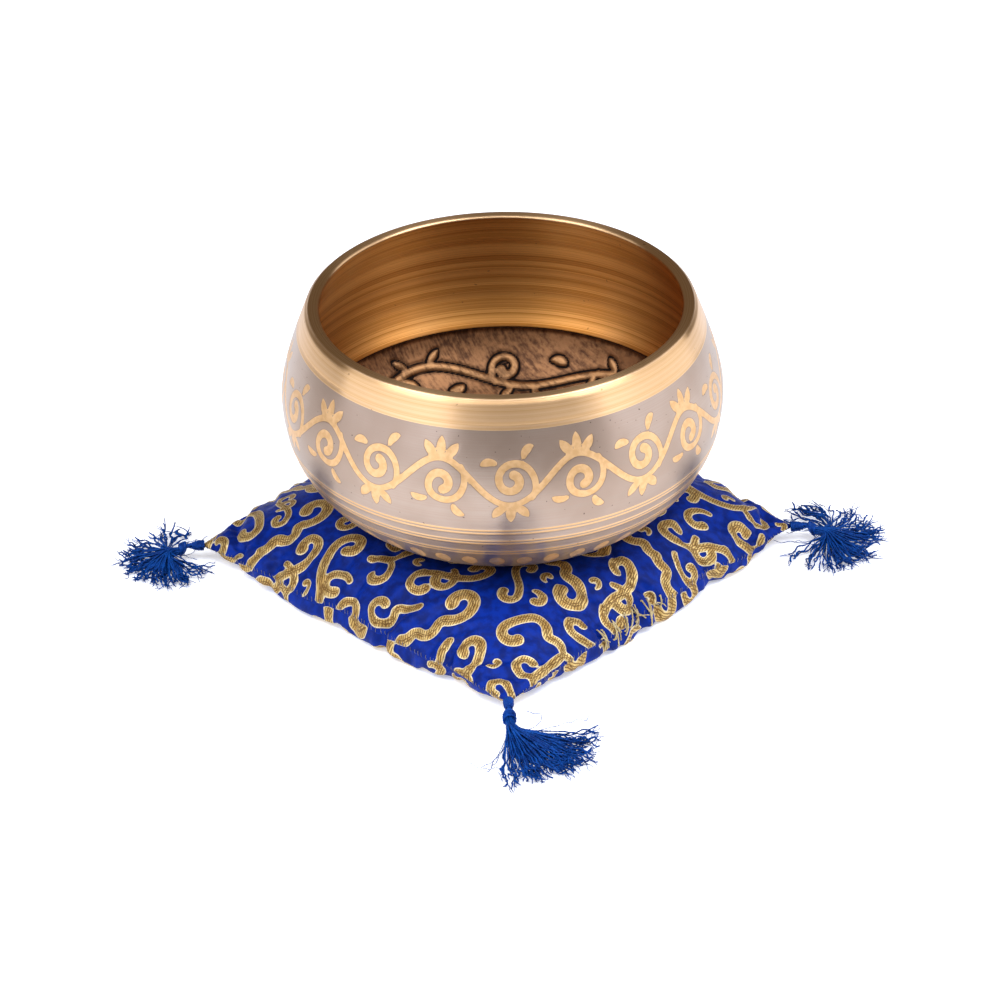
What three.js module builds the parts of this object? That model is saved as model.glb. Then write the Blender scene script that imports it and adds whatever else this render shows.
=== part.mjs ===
// Singing bowl on a brocade cushion with four corner tassels.
// Units are millimetres, +Z is up, and the origin is the middle of the cushion's underside.
// The cushion's sides run along X and Y, so its corners point along the diagonals.
import * as THREE from 'three';

// ---- Driving dimensions ----

// Bowl, with heights measured down from the plane of the rim.
const BOWL_CENTRE = [1, 3];       // the bowl stands a little off the cushion's middle
const BASE_Z = 20;                // height of the bowl's flat base above the table
const BOWL_HEIGHT = 84;
const BELLY_RADIUS = 80;
const BELLY_DROP = 35.3;          // rim to the widest circle
const MOUTH_OUTER_RADIUS = 69.8;
const WALL = 4.6;
const FLOOR_THICKNESS = 5.5;
const LIP_ROUND = 0.9;            // rounding of the lip's two edges
const OUTER_BOTTOM_DROP = 51;     // depth of the outside curve below the belly, cut off by the base
const INNER_BOTTOM_DROP = 44.5;   // the same for the inside curve, cut off by the floor
const BOWL_SEGMENTS = 64;

// Cushion: two square brocade panels sewn together round a mid-height seam.
const CUSHION_HALF = 77.5;        // centre to each seam corner, along X and along Y
const SIDE_PULL = 0.033;          // how far the middle of a side draws in, as a share of CUSHION_HALF
const SEAM_CORNER_Z = 6;
const SEAM_MIDDLE_Z = 11;
const TOP_CROWN = 12;
const BOTTOM_CROWN = 16;
const FABRIC = 0.9;
const CLEARANCE = 0.3;            // between pieces that touch on the real object
const CUSHION_CELLS = 14;         // grid cells along a side, an even number
const THREAD_RADIUS = 0.35;

// Hand-sewn closing of the stuffing slit, on the +X side.
const CLOSING_MIDDLE_Y = -14;
const CLOSING_LENGTH = 30;
const CLOSING_STITCHES = 9;
const CLOSING_HALF_HEIGHT = 2.4;

// Tassel at each corner, measured outwards from the seam corner along the diagonal.
const TIE_START = 2;              // just outside the seam thread
const TIE_END = 4;
const LINK_GAP = 0.7;             // tie to hinge, and hinge to strands, so that the tassel can turn
const TIE_RADIUS = 0.6;
const NECK_LENGTH = 9;
const NECK_CORE_RADIUS = 1.8;
const NECK_TIP_RADIUS = 0.4;
const NECK_TAPER = 1.2;           // length over which the neck grows from its tip
const BINDING_OUTER_RADIUS = 2.7;
const SKIRT_LENGTH = 34;
const SKIRT_HALF_WIDTH = 13;
const SKIRT_HEIGHT = 9;

const CORNERS = {
  front_right: [1, -1],
  back_right: [1, 1],
  back_left: [-1, 1],
  front_left: [-1, -1],
};

// ---- Materials ----

const material = (color, roughness, metalness) =>
  new THREE.MeshStandardMaterial({ color, roughness, metalness });
const bronze = () => material(0xc9a070, 0.32, 1);
const brocade = () => material(0x1230a8, 0.55, 0);
const stuffing = () => material(0xf2efe8, 0.95, 0);
const blueYarn = () => material(0x0d3f93, 0.7, 0);
const goldThread = () => material(0xb99a5a, 0.6, 0.1);

// ---- Geometry helpers ----

const group = new THREE.Group();

function addMesh(name, geometry, surface) {
  const mesh = new THREE.Mesh(geometry, surface);
  mesh.name = name;
  group.add(mesh);
  return mesh;
}

// Closed solid through a stack of rings that all have the same number of points.
function solidFromRings(rings) {
  const sides = rings[0].length;
  const positions = rings.flat().flatMap((p) => [p.x, p.y, p.z]);
  const faces = [];
  for (let r = 0; r + 1 < rings.length; r++) {
    for (let s = 0; s < sides; s++) {
      const a = r * sides + s;
      const b = r * sides + ((s + 1) % sides);
      faces.push(a, b, b + sides, a, b + sides, a + sides);
    }
  }
  const last = (rings.length - 1) * sides;
  for (let s = 1; s + 1 < sides; s++) {
    faces.push(0, s + 1, s, last, last + s, last + s + 1);
  }
  const geometry = new THREE.BufferGeometry();
  geometry.setAttribute('position', new THREE.Float32BufferAttribute(positions, 3));
  geometry.setIndex(faces);
  return geometry;
}

// Thread or cord: a six-sided section swept along a curve.
function threadAlong(points, radius, steps) {
  const section = new THREE.Shape();
  const sides = 6;
  for (let s = 0; s < sides; s++) {
    const angle = (s / sides) * 2 * Math.PI;
    const corner = [radius * Math.cos(angle), radius * Math.sin(angle)];
    if (s === 0) section.moveTo(...corner);
    else section.lineTo(...corner);
  }
  const path = new THREE.CatmullRomCurve3(points, false, 'centripetal');
  return new THREE.ExtrudeGeometry(section, { steps, extrudePath: path, bevelEnabled: false });
}

// ---- Bowl ----

// Share of the full draw-in from belly to mouth at a height u, 0 at the belly and 1 at the rim:
// round near the belly and nearly straight below the rim.
const drawIn = (u) => (1.6 * u * u) / (u + 0.6);

// Radius of one wall surface at a depth below the rim.
function wallRadius(depth, bellyRadius, mouthRadius, bottomDrop) {
  if (depth <= BELLY_DROP) {
    const u = (BELLY_DROP - depth) / BELLY_DROP;
    return bellyRadius - (bellyRadius - mouthRadius) * drawIn(u);
  }
  const v = (depth - BELLY_DROP) / bottomDrop;
  return bellyRadius * Math.cbrt(1 - v * v);
}

const outerRadius = (depth) => wallRadius(depth, BELLY_RADIUS, MOUTH_OUTER_RADIUS, OUTER_BOTTOM_DROP);
const innerRadius = (depth) =>
  wallRadius(depth, BELLY_RADIUS - WALL, MOUTH_OUTER_RADIUS - WALL, INNER_BOTTOM_DROP);

function bowlGeometry() {
  const rimZ = BASE_Z + BOWL_HEIGHT;
  const floorDepth = BOWL_HEIGHT - FLOOR_THICKNESS;
  const outerSteps = 13;
  const innerSteps = 11;
  const profile = [new THREE.Vector2(0, BASE_Z)];
  for (let k = outerSteps; k >= 0; k--) {
    const depth = LIP_ROUND + (BOWL_HEIGHT - LIP_ROUND) * Math.sin((k / outerSteps) * Math.PI / 2);
    profile.push(new THREE.Vector2(outerRadius(depth), rimZ - depth));
  }
  profile.push(new THREE.Vector2(MOUTH_OUTER_RADIUS - LIP_ROUND, rimZ));
  profile.push(new THREE.Vector2(MOUTH_OUTER_RADIUS - WALL + LIP_ROUND, rimZ));
  for (let k = 0; k <= innerSteps; k++) {
    const depth = LIP_ROUND + (floorDepth - LIP_ROUND) * Math.sin((k / innerSteps) * Math.PI / 2);
    profile.push(new THREE.Vector2(innerRadius(depth), rimZ - depth));
  }
  profile.push(new THREE.Vector2(0, rimZ - floorDepth));
  const geometry = new THREE.LatheGeometry(profile, BOWL_SEGMENTS);
  geometry.rotateX(Math.PI / 2);
  return geometry;
}

const bowl = addMesh('bowl', bowlGeometry(), bronze());
bowl.position.set(BOWL_CENTRE[0], BOWL_CENTRE[1], 0);

// ---- Cushion ----

// Plan position and seam height at (u, v), each from -1 to 1 across the square.
const planX = (u, v) => CUSHION_HALF * u * (1 - SIDE_PULL * (1 - v * v));
const planY = (u, v) => CUSHION_HALF * v * (1 - SIDE_PULL * (1 - u * u));
const seamZ = (u, v) => SEAM_MIDDLE_Z - (SEAM_MIDDLE_Z - SEAM_CORNER_Z) * u * u * v * v;
const swell = (u, v) => Math.sqrt(Math.max(0, (1 - u * u) * (1 - v * v)));

// Outer faces of the two panels: the top is pressed flat by the bowl, the underside by the table.
function topOuter(u, v) {
  const crowned = seamZ(u, v) + CLEARANCE / 2 + FABRIC + TOP_CROWN * swell(u, v);
  return Math.min(BASE_Z - CLEARANCE, crowned);
}
function bottomOuter(u, v) {
  const crowned = seamZ(u, v) - CLEARANCE / 2 - FABRIC - BOTTOM_CROWN * swell(u, v);
  return Math.max(0, crowned);
}

// Closed solid between two height fields over the cells first..last of the cushion's grid.
function slabGeometry(lowZ, highZ, first, last) {
  const across = last - first + 1;
  const positions = [];
  const gridValue = (i) => Math.sin(((i / CUSHION_CELLS) * 2 - 1) * Math.PI / 2);
  for (const height of [lowZ, highZ]) {
    for (let j = first; j <= last; j++) {
      for (let i = first; i <= last; i++) {
        const [u, v] = [gridValue(i), gridValue(j)];
        positions.push(planX(u, v), planY(u, v), height(u, v));
      }
    }
  }
  const layer = across * across;
  const index = (i, j) => j * across + i;
  const faces = [];
  for (let j = 0; j + 1 < across; j++) {
    for (let i = 0; i + 1 < across; i++) {
      const [a, b, c, d] = [index(i, j), index(i + 1, j), index(i + 1, j + 1), index(i, j + 1)];
      faces.push(a, c, b, a, d, c);
      faces.push(layer + a, layer + b, layer + c, layer + a, layer + c, layer + d);
    }
  }
  // The side walls follow the slab's edge anticlockwise.
  const edge = [];
  const end = across - 1;
  for (let k = 0; k < end; k++) edge.push(index(k, 0));
  for (let k = 0; k < end; k++) edge.push(index(end, k));
  for (let k = end; k > 0; k--) edge.push(index(k, end));
  for (let k = end; k > 0; k--) edge.push(index(0, k));
  edge.forEach((p, k) => {
    const q = edge[(k + 1) % edge.length];
    faces.push(p, q, layer + q, p, layer + q, layer + p);
  });
  const geometry = new THREE.BufferGeometry();
  geometry.setAttribute('position', new THREE.Float32BufferAttribute(positions, 3));
  geometry.setIndex(faces);
  return geometry;
}

const topInner = (u, v) => topOuter(u, v) - FABRIC;
const bottomInner = (u, v) => bottomOuter(u, v) + FABRIC;
addMesh('cushion_bottom_panel', slabGeometry(bottomOuter, bottomInner, 0, CUSHION_CELLS), brocade());
addMesh('cushion_top_panel', slabGeometry(topInner, topOuter, 0, CUSHION_CELLS), brocade());
addMesh(
  'cushion_filling',
  slabGeometry(
    (u, v) => bottomInner(u, v) + CLEARANCE,
    (u, v) => topInner(u, v) - CLEARANCE,
    2,
    CUSHION_CELLS - 2,
  ),
  stuffing(),
);

// Seam thread: one length of thread just outside the seam, whose two ends meet at a corner.
function seamThreadGeometry() {
  const outside = THREAD_RADIUS + CLEARANCE + 0.2;
  const pointsPerSide = 12;
  const endGap = 0.6;
  const cornerReach = CUSHION_HALF + outside;
  const points = [new THREE.Vector3(endGap - cornerReach, -cornerReach, SEAM_CORNER_Z)];
  const sides = [
    (t) => [t, -1, 0, -1],
    (t) => [1, t, 1, 0],
    (t) => [-t, 1, 0, 1],
    (t) => [-1, -t, -1, 0],
  ];
  for (const side of sides) {
    for (let k = 0; k < pointsPerSide; k++) {
      const t = 2 * ((k + 0.5) / pointsPerSide) - 1;
      const [u, v, outX, outY] = side(t);
      points.push(new THREE.Vector3(
        planX(u, v) + outside * outX,
        planY(u, v) + outside * outY,
        seamZ(u, v),
      ));
    }
    const [u, v] = side(1);
    points.push(new THREE.Vector3(cornerReach * u, cornerReach * v, SEAM_CORNER_Z));
  }
  points[points.length - 1].y += endGap;
  return threadAlong(points, THREAD_RADIUS, 108);
}

// Closing stitches: one thread in a zigzag over the seam, clear of the seam thread.
function closingStitchGeometry() {
  const x = CUSHION_HALF * (1 - SIDE_PULL) + 3 * THREAD_RADIUS + 2 * CLEARANCE + 0.5;
  const points = [];
  const turns = 2 * CLOSING_STITCHES;
  for (let k = 0; k <= turns; k++) {
    const y = CLOSING_MIDDLE_Y + CLOSING_LENGTH * (k / turns - 0.5);
    const side = k % 2 === 0 ? 1 : -1;
    points.push(new THREE.Vector3(x, y, seamZ(1, y / CUSHION_HALF) + side * CLOSING_HALF_HEIGHT));
  }
  return threadAlong(points, THREAD_RADIUS, 3 * turns);
}

addMesh('seam_thread', seamThreadGeometry(), goldThread());
addMesh('closing_stitches', closingStitchGeometry(), goldThread());

// ---- Tassels ----

// Built along +X from the seam corner at x = 0, then turned to each corner.
// The neck slopes down from the seam so that the skirt lies on the table.
const NECK_START = TIE_END + 2 * LINK_GAP;
const NECK_END = NECK_START + NECK_LENGTH;
const NECK_END_Z = BINDING_OUTER_RADIUS + 0.3;

const neckSlope = Math.atan2(SEAM_CORNER_Z - NECK_END_Z, NECK_LENGTH);
const neckPoint = (x) => SEAM_CORNER_Z - Math.tan(neckSlope) * Math.max(0, x - NECK_START);

// A ring of points in a plane across the tassel: half width, half height, centre height.
function tasselRing(x, halfWidth, halfHeight, centreZ) {
  const sides = 12;
  const ring = [];
  for (let s = 0; s < sides; s++) {
    const angle = (s / sides) * 2 * Math.PI;
    ring.push(new THREE.Vector3(x, halfWidth * Math.cos(angle), centreZ + halfHeight * Math.sin(angle)));
  }
  return ring;
}

function strandsGeometry() {
  const rings = [tasselRing(NECK_START, NECK_TIP_RADIUS, NECK_TIP_RADIUS, neckPoint(NECK_START))];
  for (const x of [NECK_START + NECK_TAPER, NECK_END + 0.5]) {
    rings.push(tasselRing(x, NECK_CORE_RADIUS, NECK_CORE_RADIUS, neckPoint(x)));
  }
  const flareSteps = 5;
  for (let k = 1; k <= flareSteps; k++) {
    const share = k / flareSteps;
    const halfWidth = NECK_CORE_RADIUS + (SKIRT_HALF_WIDTH - NECK_CORE_RADIUS) * Math.sqrt(share);
    const halfHeight = NECK_CORE_RADIUS + (SKIRT_HEIGHT / 2 - NECK_CORE_RADIUS) * Math.sin(share * Math.PI);
    const fullHeight = Math.max(halfHeight, 2);
    rings.push(tasselRing(NECK_END + 0.5 + SKIRT_LENGTH * share, halfWidth, fullHeight, fullHeight));
  }
  return solidFromRings(rings);
}

function bindingGeometry() {
  const inner = NECK_CORE_RADIUS + CLEARANCE;
  const start = NECK_START + NECK_TAPER;
  const length = NECK_END - start - 0.5;
  const round = 0.3;
  const profile = [
    [inner, 0],
    [BINDING_OUTER_RADIUS - round, 0],
    [BINDING_OUTER_RADIUS, round],
    [BINDING_OUTER_RADIUS, length - round],
    [BINDING_OUTER_RADIUS - round, length],
    [inner, length],
    [inner, 0],
  ].map(([radius, along]) => new THREE.Vector2(radius, along));
  const geometry = new THREE.LatheGeometry(profile, 12);
  geometry.rotateZ(-Math.PI / 2);
  geometry.rotateY(neckSlope);
  geometry.translate(start, 0, neckPoint(start));
  return geometry;
}

function tieGeometry() {
  const points = [TIE_START, (TIE_START + TIE_END) / 2, TIE_END].map((x) =>
    new THREE.Vector3(x, 0, SEAM_CORNER_Z));
  return threadAlong(points, TIE_RADIUS, 2);
}

for (const [corner, [sideX, sideY]] of Object.entries(CORNERS)) {
  const turn = Math.atan2(sideY, sideX);
  const pieces = [
    [`tassel_tie_${corner}`, tieGeometry(), blueYarn()],
    [`tassel_strands_${corner}`, strandsGeometry(), blueYarn()],
    [`tassel_binding_${corner}`, bindingGeometry(), blueYarn()],
  ];
  for (const [name, geometry, surface] of pieces) {
    const mesh = addMesh(name, geometry, surface);
    mesh.position.set(CUSHION_HALF * sideX, CUSHION_HALF * sideY, 0);
    mesh.rotation.z = turn;
  }
}

export default group;
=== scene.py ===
"""Singing bowl on a tasselled brocade cushion: the looks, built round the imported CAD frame.

The bowl, the cushion's cover, its threads and the four tassels are built as fine meshes in place of
the plain CAD solids. Sizes in this script are millimetres until a mesh is made, then metres.
"""

import math

import bpy
import numpy as np
from mathutils import Euler, Matrix, Vector


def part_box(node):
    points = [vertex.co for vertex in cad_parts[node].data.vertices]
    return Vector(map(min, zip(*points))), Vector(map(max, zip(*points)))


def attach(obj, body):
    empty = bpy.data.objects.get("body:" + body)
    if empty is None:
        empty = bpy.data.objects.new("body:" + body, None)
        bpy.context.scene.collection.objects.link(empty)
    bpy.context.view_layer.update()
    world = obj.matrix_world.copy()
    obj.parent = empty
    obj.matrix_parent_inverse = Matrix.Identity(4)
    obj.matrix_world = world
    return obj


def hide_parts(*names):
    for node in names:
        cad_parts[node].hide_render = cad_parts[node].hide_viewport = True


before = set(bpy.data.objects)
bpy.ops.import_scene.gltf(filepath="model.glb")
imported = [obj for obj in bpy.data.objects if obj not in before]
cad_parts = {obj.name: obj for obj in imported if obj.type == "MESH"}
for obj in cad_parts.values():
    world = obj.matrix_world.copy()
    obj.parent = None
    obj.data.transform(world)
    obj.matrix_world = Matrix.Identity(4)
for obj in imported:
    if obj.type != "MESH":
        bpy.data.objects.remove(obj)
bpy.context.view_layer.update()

MM = 0.001

# ---- Sizes, in millimetres ---------------------------------------------------

BOWL_LOW, BOWL_HIGH = (np.array(corner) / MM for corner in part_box("bowl"))
BOWL_X, BOWL_Y = (BOWL_LOW[:2] + BOWL_HIGH[:2]) / 2
RIM_Z = BOWL_HIGH[2]
BOWL_HEIGHT = BOWL_HIGH[2] - BOWL_LOW[2]
BELLY_RADIUS = 80.0
BELLY_DROP = 35.3                 # drops and depths are below the rim
MOUTH_RADIUS = 69.8
WALL = 4.6
OUTER_BOTTOM_DROP = 51.0          # from the belly down to where each wall would close
INNER_BOTTOM_DROP = 44.5
FLOOR_DEPTH = BOWL_HEIGHT - 5.5
LIP_ROUND = 1.3

# Bands of the outside.
RIM_BAND_END = 10.1
GOLD_LINES = ((47.5, 48.4), (49.0, 49.9), (52.9, 53.8), (54.4, 55.3), (59.1, 60.0), (60.6, 61.5))
LOW_BAND = (63.5, 72.5)
BAND_END = 76.0
FRIEZE = (12.4, 44.2)
RELIEF_EDGE_DEPTH = 50.6

# ---- Mesh helpers ------------------------------------------------------------


def make_object(name, points_mm, faces, materials, face_materials=None, attributes=None):
    """A smooth-shaded mesh object from points in millimetres and a list or array of faces."""
    mesh = bpy.data.meshes.new(name)
    faces = faces.tolist() if isinstance(faces, np.ndarray) else faces
    mesh.from_pydata((np.asarray(points_mm, float) * MM).tolist(), [], faces)
    for material in materials:
        mesh.materials.append(material)
    if face_materials is not None:
        mesh.polygons.foreach_set("material_index", np.asarray(face_materials, np.int32))
    for key, values in (attributes or {}).items():
        values = np.asarray(values, np.float32)
        if values.ndim == 1:
            layer = mesh.attributes.new(key, "FLOAT", "POINT")
            layer.data.foreach_set("value", values)
        else:
            layer = mesh.attributes.new(key, "FLOAT_VECTOR", "POINT")
            layer.data.foreach_set("vector", values.ravel())
    mesh.polygons.foreach_set("use_smooth", np.ones(len(mesh.polygons), bool))
    mesh.validate()
    mesh.update()
    made = bpy.data.objects.new(name, mesh)
    bpy.context.scene.collection.objects.link(made)
    return made


def square(half):
    """The corners of a square on the floor."""
    return [(-half, -half, 0), (half, -half, 0), (half, half, 0), (-half, half, 0)]


def show(piece, body, slot, *nodes):
    """The piece moves with a body and stands for CAD nodes; the slot is not used."""
    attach(piece, body)
    if nodes:
        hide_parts(*nodes)
    return piece


# ---- Pattern helpers: strokes drawn as signed distance, positive inside ------


def flourish(x, y, heading, bends, step=0.6):
    """Points along a line that starts at (x, y) and turns as it goes.

    Each bend is (length, degrees turned over it); the turning eases from one bend to the next.
    """
    rates = []
    for length, turned in bends:
        count = max(2, round(length / step))
        rates += [math.radians(turned) / count] * count
    kernel = np.ones(5) / 5
    padded = np.pad(np.array(rates), 2, mode="edge")
    rates = np.convolve(padded, kernel, mode="valid")
    headings = math.radians(heading) + np.concatenate([[0], np.cumsum(rates)])
    xs = x + np.concatenate([[0], np.cumsum(np.cos(headings[:-1]))]) * step
    ys = y + np.concatenate([[0], np.cumsum(np.sin(headings[:-1]))]) * step
    return np.stack([xs, ys], 1)


def stamp(field, across, places, path, half):
    """Raises field to the signed distance inside a tapered stroke, and notes the offset across it."""
    reach = half.max() + 2.5
    low, high = path.min(0) - reach, path.max(0) + reach
    near = np.nonzero(((places >= low) & (places <= high)).all(1))[0]
    if len(near) == 0:
        return
    spots = places[near]
    best = np.full(len(near), -1e9)
    side = np.zeros(len(near))
    for a, b, wa, wb in zip(path[:-1], path[1:], half[:-1], half[1:]):
        run = b - a
        length2 = run @ run + 1e-12
        offset = spots - a
        along = np.clip(offset @ run / length2, 0, 1)
        gap = offset - along[:, None] * run
        inside = wa + (wb - wa) * along - np.hypot(gap[:, 0], gap[:, 1])
        better = inside > best
        best[better] = inside[better]
        turn = (run[0] * gap[:, 1] - run[1] * gap[:, 0]) / math.sqrt(length2)
        side[better] = turn[better]
    higher = best > field[near]
    field[near[higher]] = best[higher]
    if across is not None:
        across[near[higher]] = side[higher]


def widths(count, start, middle, end):
    """Half-widths along a stroke, from start through middle to end."""
    t = np.linspace(0, 1, count)
    return np.where(t < 0.5, start + (middle - start) * np.sin(t * math.pi),
                    end + (middle - end) * np.sin(t * math.pi))


# ---- Shader helpers ----------------------------------------------------------


class Shader:
    """A small wrapper that builds one material's nodes."""

    def __init__(self, name):
        self.material = bpy.data.materials.new(name)
        self.material.use_nodes = True
        self.tree = self.material.node_tree
        self.tree.nodes.clear()
        self.output = self.node("ShaderNodeOutputMaterial")
        self.bsdf = self.node("ShaderNodeBsdfPrincipled")
        self.link(self.bsdf.outputs["BSDF"], self.output.inputs["Surface"])

    def node(self, kind, **settings):
        """A new node with some of its properties set."""
        made = self.tree.nodes.new(kind)
        for key, value in settings.items():
            setattr(made, key, value)
        return made

    def link(self, source, target):
        """Links an output socket to an input socket."""
        self.tree.links.new(source, target)

    def put(self, target, value):
        """Links a socket to the target, or sets the target to a plain value."""
        if isinstance(value, bpy.types.NodeSocket):
            self.link(value, target)
        else:
            target.default_value = value

    def set(self, **values):
        """Principled inputs by name, with _ for a space."""
        for key, value in values.items():
            self.put(self.bsdf.inputs[key.replace("_", " ")], value)

    def attribute(self, name, output="Fac"):
        """A number stored on the mesh, or a vector."""
        return self.node("ShaderNodeAttribute", attribute_name=name).outputs[output]

    def math(self, operation, a, b=0.0, c=0.0):
        """A Math node's result."""
        made = self.node("ShaderNodeMath", operation=operation)
        self.put(made.inputs[0], a)
        self.put(made.inputs[1], b)
        self.put(made.inputs[2], c)
        return made.outputs[0]

    def ramp(self, value, low, high, to_low=0.0, to_high=1.0):
        """Smooth step of value from low..high to to_low..to_high."""
        made = self.node("ShaderNodeMapRange", interpolation_type="SMOOTHSTEP")
        self.put(made.inputs["Value"], value)
        self.put(made.inputs["From Min"], low)
        self.put(made.inputs["From Max"], high)
        self.put(made.inputs["To Min"], to_low)
        self.put(made.inputs["To Max"], to_high)
        return made.outputs["Result"]

    def mix(self, factor, a, b):
        """Colour mix of a and b."""
        made = self.node("ShaderNodeMix", data_type="RGBA")
        self.put(made.inputs[0], factor)
        self.put(made.inputs[6], a)
        self.put(made.inputs[7], b)
        return made.outputs[2]

    def noise(self, scale, detail=3.0, vector=None, stretch=None, roughness=0.5):
        """Noise value; the default place is the object's own coordinates, in metres."""
        if vector is None:
            vector = self.node("ShaderNodeTexCoord").outputs["Object"]
        if stretch is not None:
            mapping = self.node("ShaderNodeMapping")
            mapping.inputs["Scale"].default_value = stretch
            self.link(vector, mapping.inputs["Vector"])
            vector = mapping.outputs["Vector"]
        made = self.node("ShaderNodeTexNoise")
        self.link(vector, made.inputs["Vector"])
        made.inputs["Scale"].default_value = scale
        made.inputs["Detail"].default_value = detail
        made.inputs["Roughness"].default_value = roughness
        return made.outputs["Fac"]

    def bump(self, height, distance, strength):
        """Fine relief in the shading; distance in metres."""
        made = self.node("ShaderNodeBump")
        self.put(made.inputs["Height"], height)
        made.inputs["Distance"].default_value = distance
        made.inputs["Strength"].default_value = strength
        self.link(made.outputs["Normal"], self.bsdf.inputs["Normal"])


def rgb(red, green, blue):
    """A linear colour from 0..255 display values."""
    def linear(value):
        share = value / 255
        return share / 12.92 if share <= 0.04045 else ((share + 0.055) / 1.055) ** 2.4
    return (linear(red), linear(green), linear(blue), 1.0)


# ---- Metals ------------------------------------------------------------------

BRONZE = rgb(228, 190, 147)
BRONZE_DEEP = rgb(212, 168, 116)
# The inside's bronze is painted darker and more saturated than the outside's: painted shade standing in for
# light bouncing round inside the bowl.
INNER_SHADED_BRONZE = rgb(224, 160, 86)
INNER_SHADED_DEEP = rgb(182, 118, 50)
SILVERED = rgb(180, 161, 146)
SILVERED_DEEP = rgb(161, 141, 125)
INLAY = rgb(226, 184, 134)
INLAY_DEEP = rgb(214, 170, 118)


def turned_lines(shader, fine, coarse):
    """Height of the lathe's marks: fine lines round the axis, which vary with height and radius."""
    coordinates = shader.node("ShaderNodeTexCoord").outputs["Object"]
    split = shader.node("ShaderNodeSeparateXYZ")
    shader.link(coordinates, split.inputs[0])
    x2 = shader.math("POWER", shader.math("SUBTRACT", split.outputs[0], BOWL_X * MM), 2.0)
    y2 = shader.math("POWER", shader.math("SUBTRACT", split.outputs[1], BOWL_Y * MM), 2.0)
    radius = shader.math("SQRT", shader.math("ADD", x2, y2))
    place = shader.node("ShaderNodeCombineXYZ")
    shader.link(radius, place.inputs[0])
    shader.link(split.outputs[2], place.inputs[2])
    lines = shader.noise(fine, 2.0, vector=place.outputs[0])
    waves = shader.noise(coarse, 2.0, vector=place.outputs[0])
    return lines, waves


def anisotropic(shader, amount):
    """Spreads the highlights up and down, across the turning lines, which run round the bowl."""
    tangent = shader.node("ShaderNodeTangent", direction_type="RADIAL", axis="Z")
    shader.link(tangent.outputs[0], shader.bsdf.inputs["Tangent"])
    shader.bsdf.inputs["Anisotropic"].default_value = amount
    shader.bsdf.inputs["Anisotropic Rotation"].default_value = 0.25


def bronze_material():
    """Bare turned bronze: fine lathe lines, slight tarnish and small stains; the inside is painted darker and
    more saturated as painted shade.
    """
    s = Shader("turned_bronze")
    lines, waves = turned_lines(s, 2600.0, 330.0)
    stains = s.noise(26.0, 2.0)
    tone = s.math("MULTIPLY_ADD", waves, 0.5, s.math("MULTIPLY", lines, 0.5))
    outside = s.mix(s.ramp(lines, 0.3, 0.7), BRONZE_DEEP, BRONZE)
    # Painted shade: the inside takes the darker, more saturated bronze, banded along the turned waves.
    inside = s.mix(s.ramp(tone, 0.38, 0.62), INNER_SHADED_DEEP, INNER_SHADED_BRONZE)
    colour = s.mix(s.attribute("inner"), outside, inside)
    colour = s.mix(s.ramp(stains, 0.45, 0.8, 0.0, 0.25), colour, BRONZE_DEEP)
    specks = s.ramp(s.noise(420.0, 1.0), 0.77, 0.8)
    colour = s.mix(s.math("MULTIPLY", specks, 0.5), colour, rgb(120, 78, 40))
    rough = s.math("MULTIPLY_ADD", s.attribute("inner"), 0.14, s.ramp(stains, 0.3, 0.7, 0.29, 0.33))
    s.set(Base_Color=colour, Metallic=1.0, Roughness=rough)
    anisotropic(s, 0.93)
    swell = s.math("MULTIPLY", waves, s.ramp(s.attribute("inner"), 0.0, 1.0, 0.15, 6.0))
    s.bump(s.math("ADD", swell, lines), 0.00003, 0.6)
    return s.material


def silvered_material():
    """The grey band: a silvery layer with the ornament cut through it to the bronze."""
    s = Shader("silvered_band")
    lines, waves = turned_lines(s, 2600.0, 330.0)
    stains = s.noise(30.0, 3.0)
    cut = s.attribute("cut")
    ragged = s.math("MULTIPLY_ADD", s.noise(900.0, 2.0), 0.16, s.math("ADD", cut, -0.08))
    bare = s.ramp(ragged, -0.07, 0.07)
    # Painted shade: a dark brown rim round each cut in the silvering, where the shallow recess's edge would
    # shade.
    edge = s.math("MULTIPLY", s.ramp(ragged, -0.4, -0.02), s.math("SUBTRACT", 1.0, bare))
    grey = s.mix(s.ramp(stains, 0.35, 0.7), SILVERED_DEEP, SILVERED)
    grey = s.mix(s.math("MULTIPLY", s.ramp(lines, 0.3, 0.7), 0.35), grey, rgb(168, 140, 124))
    specks = s.ramp(s.noise(800.0, 1.0), 0.76, 0.79)
    grey = s.mix(s.math("MULTIPLY", specks, 0.75), grey, rgb(70, 55, 48))
    gold = s.mix(s.ramp(s.noise(500.0, 3.0), 0.35, 0.65), INLAY_DEEP, INLAY)
    colour = s.mix(bare, grey, gold)
    colour = s.mix(s.math("MULTIPLY", edge, 0.5), colour, rgb(112, 86, 70))
    s.set(Base_Color=colour, Metallic=1.0)
    s.set(Roughness=s.ramp(bare, 0.0, 1.0, 0.31, 0.38))
    anisotropic(s, 0.84)
    height = s.math("MULTIPLY_ADD", waves, 0.8, lines)
    height = s.math("MULTIPLY_ADD", bare, -1.5, height)
    s.bump(height, 0.00003, 0.6)
    return s.material


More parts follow.
